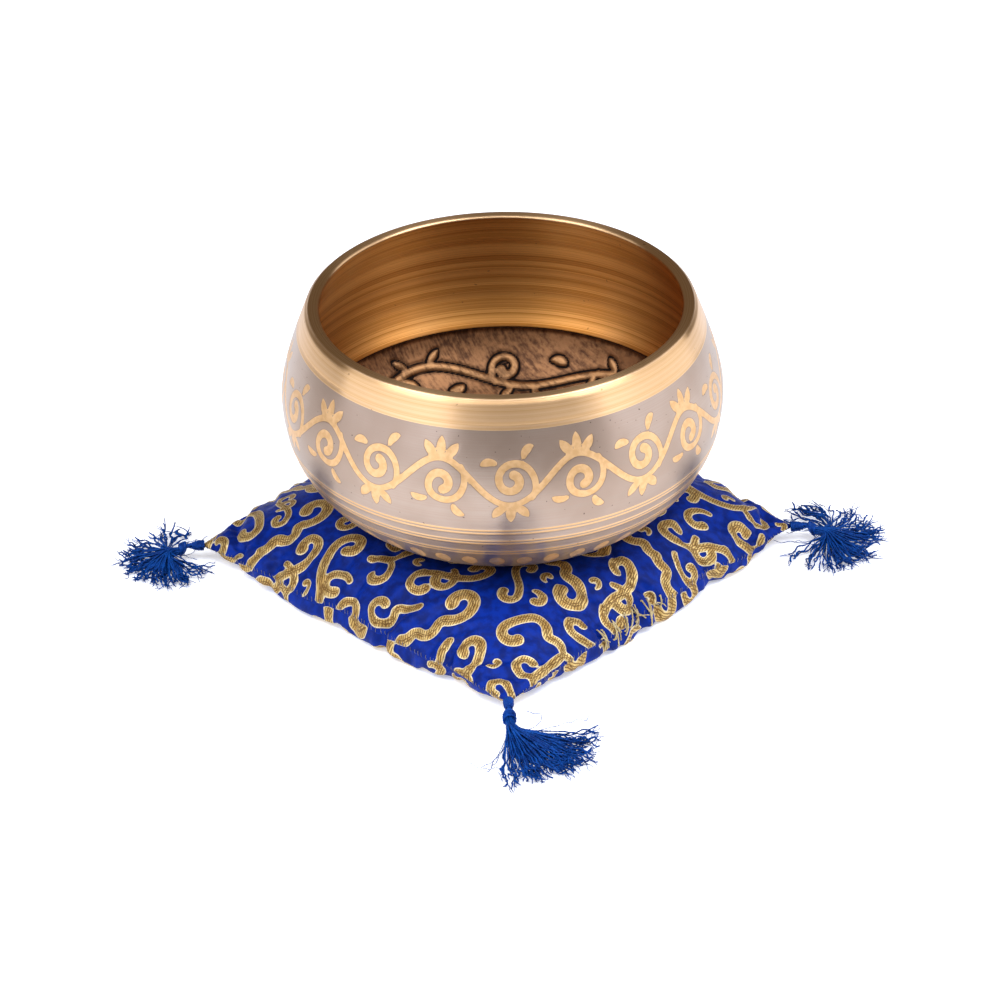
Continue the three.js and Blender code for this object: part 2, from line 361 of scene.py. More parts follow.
def relief_material():
    """The antiqued relief in the bowl's bottom: brown patina, dark in the outlines and pits."""
    s = Shader("antiqued_relief")
    groove, raised = s.attribute("groove"), s.attribute("raised")
    pits = s.noise(560.0, 3.0, roughness=0.6)
    scuffs = s.noise(240.0, 3.0, stretch=(1.0, 4.0, 1.0))
    mottle = s.noise(90.0, 3.0)
    line = s.ramp(groove, 0.28, 0.52, 1.0, 0.0)
    tone = s.math("MULTIPLY_ADD", scuffs, 0.45, s.math("MULTIPLY", mottle, 0.35))
    tone = s.math("MULTIPLY_ADD", pits, 0.3, tone)
    worn = s.ramp(tone, 0.42, 0.66)
    brown = s.mix(worn, rgb(76, 47, 27), rgb(140, 97, 61))
    polish = s.math("MULTIPLY", s.ramp(raised, 0.2, 0.8), s.ramp(tone, 0.4, 0.62, 0.25, 0.8))
    brown = s.mix(polish, brown, rgb(172, 126, 80))
    # Painted shade: a darker halo beside each outline.
    painted_shading = s.ramp(groove, 0.4, 1.5, 0.4, 0.0)
    brown = s.mix(painted_shading, brown, rgb(60, 36, 20))
    s.set(Base_Color=s.mix(line, brown, rgb(26, 15, 9)), Metallic=0.8)
    s.set(Roughness=s.ramp(line, 0.0, 1.0, 0.46, 0.75))
    height = s.math("MULTIPLY_ADD", line, -2.0, s.math("MULTIPLY_ADD", pits, 0.8, scuffs))
    s.bump(height, 0.00011, 0.7)
    return s.material


# ---- Bowl --------------------------------------------------------------------


def draw_in(u):
    """Share of the full draw-in from belly to mouth: round near the belly, nearly straight above."""
    return 1.6 * u * u / (u + 0.6)


def wall_radius(depth, belly, mouth, bottom_drop):
    """Radius of the wall at depths below the rim: straight-sided above the belly, round below it."""
    depth = np.asarray(depth, float)
    u = np.clip((BELLY_DROP - depth) / BELLY_DROP, 0, None)
    v = np.clip((depth - BELLY_DROP) / bottom_drop, 0, 0.99999)
    above = belly - (belly - mouth) * draw_in(u)
    below = belly * np.cbrt(1 - v * v)
    return np.where(depth <= BELLY_DROP, above, below)


def resample(points, spacing, fixed=()):
    """Points along a polyline about spacing apart, which keeps the fixed arc positions."""
    points = np.asarray(points, float)
    arc = np.concatenate([[0], np.cumsum(np.hypot(*np.diff(points, axis=0).T))])
    stops = sorted({0.0, float(arc[-1]), *[float(f) for f in fixed]})
    marks = [0.0]
    for start, end in zip(stops[:-1], stops[1:]):
        count = max(1, round((end - start) / spacing))
        marks += list(start + (end - start) * np.arange(1, count + 1) / count)
    marks = np.array(marks)
    return np.stack([np.interp(marks, arc, points[:, k]) for k in range(points.shape[1])], 1)


def arc_at_depth(points, depth):
    """Arc length along a (radius, depth) polyline of increasing depth where it reaches a depth."""
    arc = np.concatenate([[0], np.cumsum(np.hypot(*np.diff(points, axis=0).T))])
    return float(np.interp(depth, points[:, 1], arc))


def outer_wall():
    """(radius, depth) rows down the outside, closer together where the ornament is."""
    depth = LIP_ROUND + (BOWL_HEIGHT - LIP_ROUND) * np.sin(np.linspace(0, math.pi / 2, 1500))
    curve = np.stack([wall_radius(depth, BELLY_RADIUS, MOUTH_RADIUS, OUTER_BOTTOM_DROP), depth], 1)
    edges = [RIM_BAND_END - 1.9, RIM_BAND_END - 1.5, RIM_BAND_END - 1.1, RIM_BAND_END, BAND_END]
    edges += [d for top, bottom in GOLD_LINES for d in (top, (top + bottom) / 2, bottom)]
    edges += list(LOW_BAND)
    low, high = (arc_at_depth(curve, d) for d in FRIEZE)
    fine = np.linspace(low, high, round((high - low) / 0.68) + 1)
    return resample(curve, 1.25, [arc_at_depth(curve, d) for d in edges] + list(fine))


def inner_wall():
    """(radius, depth) rows down the inside as far as the floor's edge, then in to the axis."""
    share = np.sin(np.linspace(0, math.pi / 2, 1500))
    depth = LIP_ROUND + (FLOOR_DEPTH - LIP_ROUND) * share
    curve = np.stack(
        [wall_radius(depth, BELLY_RADIUS - WALL, MOUTH_RADIUS - WALL, INNER_BOTTOM_DROP), depth], 1)
    edge = arc_at_depth(curve, RELIEF_EDGE_DEPTH)
    floor = np.stack([np.linspace(curve[-1, 0], 0.4, 40)[1:], np.full(39, FLOOR_DEPTH)], 1)
    whole = np.concatenate([curve, floor])
    length = np.hypot(*np.diff(whole, axis=0).T).sum()
    fine = np.linspace(edge, edge + 34, 47)
    return resample(whole, 1.15, [edge] + list(fine) + list(np.arange(edge + 35, length, 0.95)))


def lip_rows():
    """The lip's rounded top, from the outside wall over to the inside wall."""
    angles = np.linspace(0, math.pi / 2, 6)
    outer = MOUTH_RADIUS - LIP_ROUND + LIP_ROUND * np.cos(angles)
    inner = MOUTH_RADIUS - WALL + LIP_ROUND - LIP_ROUND * np.cos(angles)
    rise = LIP_ROUND - LIP_ROUND * np.sin(angles)
    over = [(r, d) for r, d in zip(outer, rise)]
    back = [(r, d) for r, d in zip(inner[::-1], rise[::-1])]
    return np.array(over[1:] + back[:-1])


FRIEZE_UNITS = 10
FRIEZE_WAVE = 8.2                 # height of the frieze's waving stem over its middle


def frieze_strokes(unit):
    """One unit of the outside frieze, in (along, up) millimetres: a waving stem, spirals and leaves."""
    strokes = []
    line = np.linspace(-0.02, 1.02, 90)
    stem = np.stack([line * unit, FRIEZE_WAVE * np.sin(2 * math.pi * line)], 1)
    strokes.append((stem, np.full(len(stem), 1.15)))
    for flip, shift in ((1, 0.0), (-1, 0.5)):

        def stroke(x, y, heading, bends, start, middle, end):
            path = flourish(x, y, heading, bends)
            placed = path * [1, flip] + [shift * unit, 0]
            strokes.append((placed, widths(len(placed), start, middle, end)))

        # Spiral tendril in the hollow under the wave, with a bud at its heart and a leaf outside it.
        stroke(20.2, 5.6, -60, [(10, -66), (10, -88), (9, -104), (7.5, -122), (4, -90)], 1.0, 1.3, 1.7)
        stroke(17.6, -9.3, -75, [(5.6, 70)], 0.9, 1.5, 0.3)
        stroke(7.2, -7.2, 200, [(5.6, -66)], 0.9, 1.4, 0.3)
        # Three-leaf crest over the top of the wave.
        for lean in (-1, 0, 1):
            stroke(12.57 + lean * 1.6, FRIEZE_WAVE + 0.4, 90 - lean * 58, [(6.6, lean * 30)], 0.7, 1.7, 0.3)
    return strokes


def frieze_field(along, depth):
    """Signed distance to the frieze and the low row of petals, at places on the unrolled outside."""
    field = np.full(len(along), -9.0)
    places = np.stack([along, depth], 1)
    round_length = 2 * math.pi * BELLY_RADIUS
    unit = round_length / FRIEZE_UNITS
    middle = (FRIEZE[0] + FRIEZE[1]) / 2
    strokes = frieze_strokes(unit)
    for k in range(-1, FRIEZE_UNITS + 1):
        for path, half in strokes:
            placed = np.stack([k * unit + path[:, 0], middle - path[:, 1]], 1)
            stamp(field, None, places, placed, half)
    # Row of small pointed petals round the lower wall.
    petals = 44
    for k in range(petals + 1):
        centre = k * round_length / petals
        low, high = LOW_BAND
        spine = np.array([(centre, low + 0.6), (centre, low + 3.6), (centre, high - 0.6)])
        stamp(field, None, places, spine, np.array([0.5, 3.3, 0.4]))
    return field


RELIEF_UNITS = 5
RELIEF_WAVE = 5.6                # height of the relief's waving stem over its middle
RELIEF_MIDDLE = 0.79             # where the ring of scrolls runs, as a share of the way out


def relief_strokes():
    """Raised straps of the relief as (path, half-widths), seen from above with the centre at 0, 0."""
    strokes = []
    middle = RELIEF_ARC * RELIEF_MIDDLE
    unit = 2 * math.pi * middle / RELIEF_UNITS

    def bent_in(path, shift):
        turn = (path[:, 0] + shift) / middle
        out = middle + path[:, 1]
        return np.stack([out * np.cos(turn), out * np.sin(turn)], 1)

    line = np.linspace(0, 1, 60)
    stem = np.stack([line * unit, RELIEF_WAVE * np.sin(2 * math.pi * line)], 1)
    for k in range(RELIEF_UNITS):
        strokes.append((bent_in(stem, k * unit), np.full(len(stem), 1.9)))
        for flip, shift in ((1, 0.0), (-1, 0.5)):

            def stroke(x, y, heading, bends, start, middle_width, end):
                path = flourish(x, y, heading, bends) * [1, flip]
                half = widths(len(path), start, middle_width, end)
                strokes.append((bent_in(path, (k + shift) * unit), half))

            # Spiral in the hollow of the wave, a leaf on each side of it and three leaves on its crest.
            stroke(unit * 0.39, 4.1, -55, [(7.2, -62), (7.8, -92), (6.8, -110), (5.4, -118)], 1.7, 1.8, 2.5)
            stroke(unit * 0.125, -5.4, 196, [(6.4, -60)], 1.0, 2.3, 0.5)
            for lean in (-1, 1):
                x, y = unit * 0.25 + lean * 4.4, RELIEF_WAVE + 1.6
                stroke(x, y, 90 - lean * 62, [(5.8, lean * 24)], 0.8, 1.9, 0.5)
    for k in range(16):
        turn = (k + 0.5) * math.pi / 8
        spine = np.linspace(RELIEF_ARC * 0.28, RELIEF_ARC * 0.50, 9)[:, None]
        strokes.append((spine * [math.cos(turn), math.sin(turn)], widths(9, 0.8, 4.2, 0.5)))
    for k in range(8):
        turn = k * math.pi / 4
        spine = np.linspace(RELIEF_ARC * 0.07, RELIEF_ARC * 0.22, 9)[:, None]
        strokes.append((spine * [math.cos(turn), math.sin(turn)], widths(9, 0.8, 3.4, 0.5)))
    return strokes


def relief_field(radius, angle):
    """Distance to the relief's outlines and how raised it is, at polar places along its surface."""
    places = np.stack([radius * np.cos(angle), radius * np.sin(angle)], 1)
    field = np.full(len(radius), -9.0)
    for path, half in relief_strokes():
        stamp(field, None, places, path, half)
    edge = np.abs(field)
    for share in (0.997, 0.555, 0.52, 0.245, 0.05):
        edge = np.minimum(edge, np.abs(radius - RELIEF_ARC * share))
    raised = np.clip(field / 1.0, 0, 1)
    return edge, raised


def inner_arc():
    """The inside's rows, the arc length to each, and the row where the relief starts."""
    rows = inner_wall()
    arc = np.concatenate([[0], np.cumsum(np.hypot(*np.diff(rows, axis=0).T))])
    edge = int(np.argmin(np.abs(rows[:, 1] - RELIEF_EDGE_DEPTH) + 100 * (rows[:, 0] < 40)))
    return rows, arc, edge


INNER_ROWS, INNER_ARC, RELIEF_ROW = inner_arc()
RELIEF_ARC = INNER_ARC[-1] - INNER_ARC[RELIEF_ROW]


def lathe_rows(rows, counts):
    """Vertices and faces of rings at (radius, depth) rows, where the number of points may halve."""
    points, faces, face_rows, starts = [], [], [], []
    for (radius, depth), count in zip(rows, counts):
        starts.append(sum(len(p) for p in points))
        angle = np.arange(count) * (2 * math.pi / count)
        points.append(np.stack([BOWL_X + radius * np.cos(angle), BOWL_Y + radius * np.sin(angle),
                                np.full(count, RIM_Z - depth)], 1))
    for k in range(len(rows) - 1):
        a0, b0, m, n = starts[k], starts[k + 1], counts[k], counts[k + 1]
        if m == n:
            i = np.arange(m)
            j = (i + 1) % m
            quads = np.stack([a0 + i, a0 + j, b0 + j, b0 + i], 1).tolist()
            faces += quads
            face_rows += [k] * len(quads)
        else:
            fine, coarse = (a0, b0) if m > n else (b0, a0)
            few = min(m, n)
            for i in range(few):
                j = (i + 1) % few
                f0, f1, f2 = fine + 2 * i, fine + 2 * i + 1, fine + (2 * i + 2) % (2 * few)
                tris = [(f0, f1, coarse + i), (f1, f2, coarse + j), (f1, coarse + j, coarse + i)]
                if m < n:
                    tris = [t[::-1] for t in tris]
                faces += tris
                face_rows += [k] * 3
    return np.concatenate(points), faces, np.array(face_rows), starts


FINE_RING = 640
FAR = 9.0                         # a distance that means there is no ornament near
FRIEZE_SINK = 0.07
LINE_RISE = 0.15
RIM_GROOVE, RIM_GROOVE_SINK = RIM_BAND_END - 1.5, 0.1
LATHE_WAVES = ((0.085, 8.3), (0.055, 5.1), (0.02, 2.9))     # height and length of each
LEDGE_HEIGHT = 1.3                # where the wall meets the relief, and how far the hollow runs to it
LEDGE_RUN = 10.5


def ring_count(radius, depth, place):
    """Points round one ring: fine at the ornament, and fewer towards the axis."""
    if place == 1:
        return FINE_RING if FRIEZE[0] - 0.1 < depth < FRIEZE[1] + 0.1 else FINE_RING // 2
    if place == 3 and depth > RELIEF_EDGE_DEPTH - 0.1 and radius > 38:
        return FINE_RING
    count = FINE_RING // 2
    while count > 20 and count * 0.62 > 2 * math.pi * radius:
        count //= 2
    return count


def ring_counts(rows, zone):
    """Points round every ring; neighbouring rings may differ by one halving only."""
    counts = [ring_count(radius, depth, place) for (radius, depth), place in zip(rows, zone)]
    for order in (range(1, len(counts)), range(len(counts) - 2, -1, -1)):
        for k in order:
            before = counts[k - 1] if order.step > 0 else counts[k + 1]
            counts[k] = max(counts[k], before // 2)
    return counts


def outside_sink(depth, angle):
    """The frieze's signed distance and how far the outside sinks in, at places on it."""
    cut = frieze_field((angle % (2 * math.pi)) * BELLY_RADIUS, depth)
    sink = FRIEZE_SINK * np.clip((cut + 0.1) / 0.45, 0, 1)
    for top, bottom in GOLD_LINES:
        near = np.abs(depth - (top + bottom) / 2) / ((bottom - top) / 2)
        sink = np.where(near < 1.01, -LINE_RISE * (1 - near ** 2).clip(0, 1), sink)
    sink += RIM_GROOVE_SINK * np.exp(-((depth - RIM_GROOVE) / 0.35) ** 2)
    return cut, sink


def inside_lift(row, angle):
    """The relief's outlines and straps, and how far the inside stands in, at places on it."""
    arc = INNER_ARC[row]
    to_relief = INNER_ARC[RELIEF_ROW] - arc
    from_centre = INNER_ARC[-1] - arc
    from_edge = RELIEF_ARC - from_centre
    in_relief = row >= RELIEF_ROW
    groove, raised = np.full(len(row), FAR), np.zeros(len(row))
    groove[in_relief], raised[in_relief] = relief_field(from_centre[in_relief], angle[in_relief])
    straps = 0.4 * raised - 0.45 * np.clip(1.1 - groove / 0.6, 0, 1)
    straps *= np.clip(from_edge / 2, 0, 1)
    straps += LEDGE_HEIGHT * np.clip(1 - from_edge / 1.2, 0, 1)
    # Above the relief the wall has turned waves, and a shallow hollow that ends in a small ledge.
    waves = sum(size * np.sin(arc * 2 * math.pi / length + k) for k, (size, length) in enumerate(LATHE_WAVES))
    waves *= np.clip(to_relief / 6, 0, 1) * np.clip(arc / 3, 0, 1)
    ledge = LEDGE_HEIGHT * np.clip(1 - to_relief / LEDGE_RUN, 0, 1) ** 2
    return groove, raised, np.where(in_relief, straps, waves + ledge)


def pick_materials(rows, zone, first_inner):
    """Material of the faces after each row: 0 bronze, 1 silvered, 2 relief."""
    middle = (rows[:-1, 1] + rows[1:, 1]) / 2
    pick = np.zeros(len(rows) - 1, int)
    outside = (zone[:-1] == 1) & (zone[1:] == 1)
    pick[outside & (middle > RIM_BAND_END) & (middle < BAND_END)] = 1
    for top, bottom in GOLD_LINES:
        pick[outside & (middle > top) & (middle < bottom)] = 0
    pick[first_inner + RELIEF_ROW:] = 2
    return pick


def build_bowl(materials):
    """The turned bowl as one closed surface, its ornament cut and raised in the mesh."""
    outside, lip, inside = outer_wall()[::-1], lip_rows(), INNER_ROWS
    foot_radii = np.linspace(0.5, outside[0, 0], 12)[:-1]
    foot = np.stack([foot_radii, np.full(len(foot_radii), BOWL_HEIGHT)], 1)
    rows = np.concatenate([foot, outside, lip, inside])
    zone = np.repeat(np.arange(4), [len(foot), len(outside), len(lip), len(inside)])
    first_inner = len(rows) - len(inside)
    counts = ring_counts(rows, zone)
    points, faces, face_rows, starts = lathe_rows(rows, counts)
    angle = np.arctan2(points[:, 1] - BOWL_Y, points[:, 0] - BOWL_X)
    depth_of, zone_of = np.repeat(rows[:, 1], counts), np.repeat(zone, counts)
    row_of = np.repeat(np.arange(len(rows)) - first_inner, counts)
    cut, groove = np.full(len(points), -FAR), np.full(len(points), FAR)
    raised, lift = np.zeros(len(points)), np.zeros(len(points))
    out, is_in = zone_of == 1, zone_of == 3
    cut[out], sink = outside_sink(depth_of[out], angle[out])
    groove[is_in], raised[is_in], lift[is_in] = inside_lift(row_of[is_in], angle[is_in])
    lift[out] = -sink

    # Push along the profile's normal, which points away from the metal.
    tangent = np.gradient(rows, axis=0)
    normal = np.stack([-tangent[:, 1], tangent[:, 0]], 1)
    normal /= np.linalg.norm(normal, axis=1)[:, None] + 1e-9
    push = np.repeat(normal, counts, axis=0) * lift[:, None]
    points[:, 0] += push[:, 0] * np.cos(angle)
    points[:, 1] += push[:, 0] * np.sin(angle)
    points[:, 2] -= push[:, 1]

    # Close the two poles.
    poles = [(BOWL_X, BOWL_Y, RIM_Z - BOWL_HEIGHT), (BOWL_X, BOWL_Y, RIM_Z - FLOOR_DEPTH)]
    under, over = len(points), len(points) + 1
    first_count, last_start, last_count = counts[0], starts[-1], counts[-1]
    faces += [(under, (i + 1) % first_count, i) for i in range(first_count)]
    faces += [(over, last_start + i, last_start + (i + 1) % last_count) for i in range(last_count)]
    pick = pick_materials(rows, zone, first_inner)
    face_pick = np.concatenate([pick[face_rows], [0] * first_count, [2] * last_count])
    attributes = {
        "cut": np.concatenate([cut, [-FAR, -FAR]]),
        "groove": np.concatenate([groove, [FAR, FAR]]),
        "raised": np.concatenate([raised, [0.0, 0.0]]),
        "inner": np.concatenate([is_in, [0.0, 1.0]]),
    }
    points = np.concatenate([points, poles])
    bowl = make_object("bowl_turned", points, faces, materials, face_pick, attributes)
    return show(bowl, "bowl", "bronze", "bowl")


# ---- Cushion cover -----------------------------------------------------------

HALF = 77.5                       # half of a side, along the seam
SEAM_MIDDLE_Z = 8.5
SEAM_CORNER_Z = 6.0
TOP_CROWN, BOTTOM_CROWN = 12.0, 16.0
TABLE_Z = BOWL_LOW[2] - 0.4       # how high the top panel may stand before the cloth settles
CAGE_CELLS = 60
COVER_CELLS = 208
SIM_SCALE = 10.0                  # the cloth is simulated about a metre across
SLACK = 0.035                     # how much wider the panels are cut than the space they fill
SIM_GAP = 0.003                   # metres kept between the cloth and what it meets
SIM_FLOOR_HALF = 200.0
SIM_FRAMES = 40
CLOTH = {
    "quality": 7, "mass": 0.25, "air_damping": 2.0, "tension_stiffness": 40,
    "compression_stiffness": 30, "shear_stiffness": 12, "bending_stiffness": 0.35,
    "vertex_group_mass": "held", "vertex_group_shrink": "seam",
    "shrink_min": -SLACK, "shrink_max": 0.0, "use_pressure": True, "uniform_pressure_force": 3.5,
}
GOLD_RISE = 0.28                  # how far the gold stands up from the satin
SEAM_WAVE = 0.22


def seam_wave(places, seed, size):
    """A seam's own unevenness along one side, none at its two ends."""
    rng = np.random.default_rng(seed)
    wave = np.zeros(places.shape)
    for _ in range(5):
        wave += size * np.sin(places * rng.uniform(4, 17) + rng.uniform(0, 6.3))
    return wave * (1 - places ** 4)


def cover_shape(u, v, upper, pull):
    """The stuffed panel before the cloth settles, u and v from -1 to 1."""
    x = HALF * u * (1 - pull * (1 - v * v))
    y = HALF * v * (1 - pull * (1 - u * u))
    seam = SEAM_MIDDLE_Z - (SEAM_MIDDLE_Z - SEAM_CORNER_Z) * u * u * v * v
    if pull == 0.0:
        for side, sign in enumerate((1, -1)):
            x += sign * np.clip(sign * u, 0, 1) ** 6 * seam_wave(v, 50 + side, SEAM_WAVE)
            y += sign * np.clip(sign * v, 0, 1) ** 6 * seam_wave(u, 60 + side, SEAM_WAVE)
            seam = seam + np.clip(sign * u, 0, 1) ** 6 * seam_wave(v, 70 + side, SEAM_WAVE)
            seam = seam + np.clip(sign * v, 0, 1) ** 6 * seam_wave(u, 80 + side, SEAM_WAVE)
    swell = np.sqrt(np.clip((1 - u * u) * (1 - v * v), 0, None))
    if upper:
        z = np.minimum(TABLE_Z, seam + TOP_CROWN * swell)
    else:
        z = np.maximum(0.15, seam - BOTTOM_CROWN * swell)
    return np.stack([x, y, z], -1)


def cover_grid(cells):
    """u, v and the vertex numbers of the two panels, which share the seam's vertices."""
    line = np.linspace(-1, 1, cells + 1)
    u, v = np.meshgrid(line, line, indexing="ij")
    upper = np.arange((cells + 1) ** 2).reshape(cells + 1, cells + 1)
    lower = upper.copy()
    lower[1:-1, 1:-1] = upper.size + np.arange((cells - 1) ** 2).reshape(cells - 1, cells - 1)
    return u, v, upper, lower


def cover_faces(upper, lower):
    """Quads of the two panels, facing up on the top one and down on the bottom one."""
    def quads(ids):
        return np.stack([ids[:-1, :-1], ids[1:, :-1], ids[1:, 1:], ids[:-1, 1:]], -1).reshape(-1, 4)
    return np.concatenate([quads(upper), quads(lower)[:, ::-1]])


def join_panels(top, bottom):
    """One list of vertices from the two panels' grids of values."""
    inner = bottom[1:-1, 1:-1]
    return np.concatenate([top.reshape(-1, *top.shape[2:]), inner.reshape(-1, *inner.shape[2:])])


def seam_tightness(u, v):
    """How much each place near the seam is gathered, 0 to 1, more where it was closed by hand."""
    rng = np.random.default_rng(11)
    tight = np.zeros(u.shape)
    near = np.exp(-((1 - np.maximum(np.abs(u), np.abs(v))) * HALF / 2.5) ** 2)
    for side in range(4):
        along = v if side in (0, 2) else u
        on = [(u > np.abs(v)), (v > np.abs(u)), (-u > np.abs(v)), (-v > np.abs(u))][side]
        wave = np.full(u.shape, 0.35)
        for _ in range(7):
            wave += 0.2 * np.sin(along * rng.uniform(4, 26) + rng.uniform(0, 6.3))
        if side == 0:
            wave += 0.8 * np.exp(-((along * HALF + 14) / 12) ** 2)
        tight = np.where(on, np.clip(wave, 0, 1.4) / 1.4, tight)
    return near * tight


def collider(name, points_mm, faces):
    """A shape that the cloth can't pass through."""
    made = make_object(name, np.asarray(points_mm) * SIM_SCALE, faces, [])
    made.modifiers.new("Collision", "COLLISION")
    made.collision.thickness_outer = SIM_GAP
    made.collision.cloth_friction = 12
    return made


def settle_cover(start, faces, tight, pinned):
    """The cover after Cloth has blown it up between the floor and the bowl."""
    cloth = make_object("cover_sim", start * SIM_SCALE, faces, [])
    seam = cloth.vertex_groups.new(name="seam")
    for index in np.nonzero(tight > 0.02)[0]:
        seam.add([int(index)], float(tight[index]), "REPLACE")
    held = cloth.vertex_groups.new(name="held")
    held.add([int(i) for i in pinned], 1.0, "REPLACE")
    modifier = cloth.modifiers.new("Cloth", "CLOTH")
    for key, value in CLOTH.items():
        setattr(modifier.settings, key, value)
    modifier.settings.effector_weights.gravity = 0
    modifier.collision_settings.use_collision = True
    modifier.collision_settings.distance_min = SIM_GAP
    modifier.collision_settings.collision_quality = 3
    depths = np.sort(BOWL_HEIGHT - 34 * np.linspace(0, 1, 24) ** 1.5)
    radii = wall_radius(depths, BELLY_RADIUS, MOUTH_RADIUS, OUTER_BOTTOM_DROP)
    rows = np.concatenate([np.stack([radii, depths], 1), [(0.2, BOWL_HEIGHT)]])[::-1]
    bowl_points, bowl_faces, _, _ = lathe_rows(rows, [72] * len(rows))
    aids = [collider("sim_bowl", bowl_points, bowl_faces),
            collider("sim_floor", square(SIM_FLOOR_HALF), [(0, 1, 2, 3)])]
    scene = bpy.context.scene
    scene.frame_start = 1
    scene.frame_end = SIM_FRAMES
    modifier.point_cache.frame_start = 1
    modifier.point_cache.frame_end = SIM_FRAMES
    for moment in range(1, SIM_FRAMES + 1):
        scene.frame_set(moment)
    evaluated = cloth.evaluated_get(bpy.context.evaluated_depsgraph_get())
    settled = np.empty(len(start) * 3, np.float32)
    evaluated.data.vertices.foreach_get("co", settled)
    for thing in [cloth, *aids]:
        mesh = thing.data
        bpy.data.objects.remove(thing)
        bpy.data.meshes.remove(mesh)
    scene.frame_set(1)
    return settled.reshape(-1, 3).astype(float) / (SIM_SCALE * MM)


def bicubic(cells_from, cells_to):
    """Matrix that reads a smooth curve through evenly spaced values at more places."""
    matrix = np.zeros((cells_to + 1, cells_from + 1))
    places = np.linspace(0, cells_from, cells_to + 1)
    for row, place in enumerate(places):
        k = min(int(place), cells_from - 1)
        t = place - k
        weights = np.array([-t + 2 * t ** 2 - t ** 3, 2 - 5 * t ** 2 + 3 * t ** 3,
                            t + 4 * t ** 2 - 3 * t ** 3, -t ** 2 + t ** 3]) / 2
        for offset, weight in zip(range(k - 1, k + 3), weights):
            if offset < 0:
                matrix[row, 0] += 2 * weight
                matrix[row, 1] -= weight
            elif offset > cells_from:
                matrix[row, cells_from] += 2 * weight
                matrix[row, cells_from - 1] -= weight
            else:
                matrix[row, offset] += weight
    return matrix


def under_bowl(x, y):
    """Height of the bowl's underside above the floor at places on the cushion."""
    depth = np.linspace(BELLY_DROP, BOWL_HEIGHT, 400)
    radius = wall_radius(depth, BELLY_RADIUS, MOUTH_RADIUS, OUTER_BOTTOM_DROP)
    away = np.hypot(x - BOWL_X, y - BOWL_Y)
    reach = np.interp(away, radius[::-1], (RIM_Z - depth)[::-1])
    reach[away < radius.min()] = BOWL_LOW[2]
    reach[away > radius.max()] = 1e3
    return reach


def settled_panels():
    """The top and bottom panels as fine grids of points, and u and v over them."""
    u, v, upper, lower = cover_grid(CAGE_CELLS)
    pull = 0.0
    top, bottom = cover_shape(u, v, True, pull), cover_shape(u, v, False, pull)
    start = join_panels(top, bottom)
    seam = upper[np.maximum(np.abs(u), np.abs(v)) > 0.9999]
    tight = seam_tightness(u, v)
    settled = settle_cover(start, cover_faces(upper, lower), join_panels(tight, tight), seam)
    top, bottom = settled[upper], settled[lower]
    fine = bicubic(CAGE_CELLS, COVER_CELLS)
    top = np.einsum("ai,ijk,bj->abk", fine, top, fine)
    bottom = np.einsum("ai,ijk,bj->abk", fine, bottom, fine)
    return top, bottom


# ---- Brocade pattern ---------------------------------------------------------


def motif(kind):
    """One motif as strokes of (path, half-widths), about its own middle."""
    strokes = []

    def stroke(x, y, heading, bends, start, middle, end):
        path = flourish(x, y, heading, bends)
        strokes.append((path, widths(len(path), start, middle, end)))

    def mirrored(x, y, heading, bends, start, middle, end):
        for side in (1, -1):
            path = flourish(x, y, heading, bends) * [side, 1]
            strokes.append((path, widths(len(path), start, middle, end)))

    curl, lobe, cusp = (11.5, -185), (8.5, -145), (1.8, 112)
    if kind == "cloud":
        # A scalloped arch whose two ends curl inwards.
        mirrored(0, 9, 38, [(4.5, -75), cusp, lobe, cusp, (12, -110), curl], 1.8, 1.9, 2.3)
    elif kind == "palmette":
        # Two scrolls that part from a point, with a stem between them that parts again.
        mirrored(0, 10, 40, [(7, -85), cusp, (9, -120), (9, -20), curl], 1.5, 1.85, 2.2)
        mirrored(0, -6, -50, [(6, 60), (10, 190)], 1.5, 1.6, 1.9)
        stroke(0, 9, -90, [(16, 0)], 1.4, 1.8, 1.5)
    elif kind == "vine":
        stroke(-26, 4, -62, [(15, 70), (14, 45), (12, -35), (8, -60), (12, -215)], 1.6, 1.9, 2.2)
        stroke(-8, -10, 20, [(8, -70), (10, -170)], 1.2, 1.6, 2.0)
        stroke(4, -6, 75, [(7, 60), (11, 190)], 1.2, 1.6, 2.1)
        stroke(-22, -3, -120, [(6, -40), (9, -150)], 1.2, 1.6, 1.9)
    elif kind == "branch":
        stroke(-14, -8, 20, [(9, 40), (9, -30), (7, -50), (11, -205)], 1.6, 1.8, 2.2)
        stroke(-3, -3, 100, [(6, 40), (10, 180)], 1.3, 1.6, 2.1)
        stroke(-12, -8, 200, [(6, -60), (9, -150)], 1.5, 1.6, 2.0)
    elif kind == "scroll":
        stroke(-4, -6, 150, [(11, -200), (9, -30), (9, 30), (11, 205)], 2.1, 1.6, 2.1)
    elif kind == "crook":
        stroke(-7, -6, 80, [(9, -30), cusp, (9, -110), (6, -50), (11, -170)], 1.9, 1.7, 2.1)
    elif kind == "hook":
        stroke(-5, -4, 80, [(6, -25), (6, -40), (10, -205)], 1.3, 1.7, 2.1)
    elif kind == "comma":
        stroke(-2, -2, 60, [(5, -70), (5, -140)], 1.1, 1.9, 1.9)
    return strokes


MOTIF_ROUNDS = (("vine", 1.0, 5), ("cloud", 1.1, 9), ("palmette", 1.0, 9), ("branch", 1.0, 14),
                ("cloud", 0.85, 9), ("vine", 0.75, 9), ("palmette", 0.72, 14), ("scroll", 0.9, 20),
                ("branch", 0.72, 30), ("crook", 0.85, 40), ("hook", 0.85, 60), ("hook", 0.65, 60),
                ("comma", 0.9, 90), ("comma", 0.62, 120))
PATTERN_GAP = 1.9                 # bare satin kept between two motifs
TURNS = 16


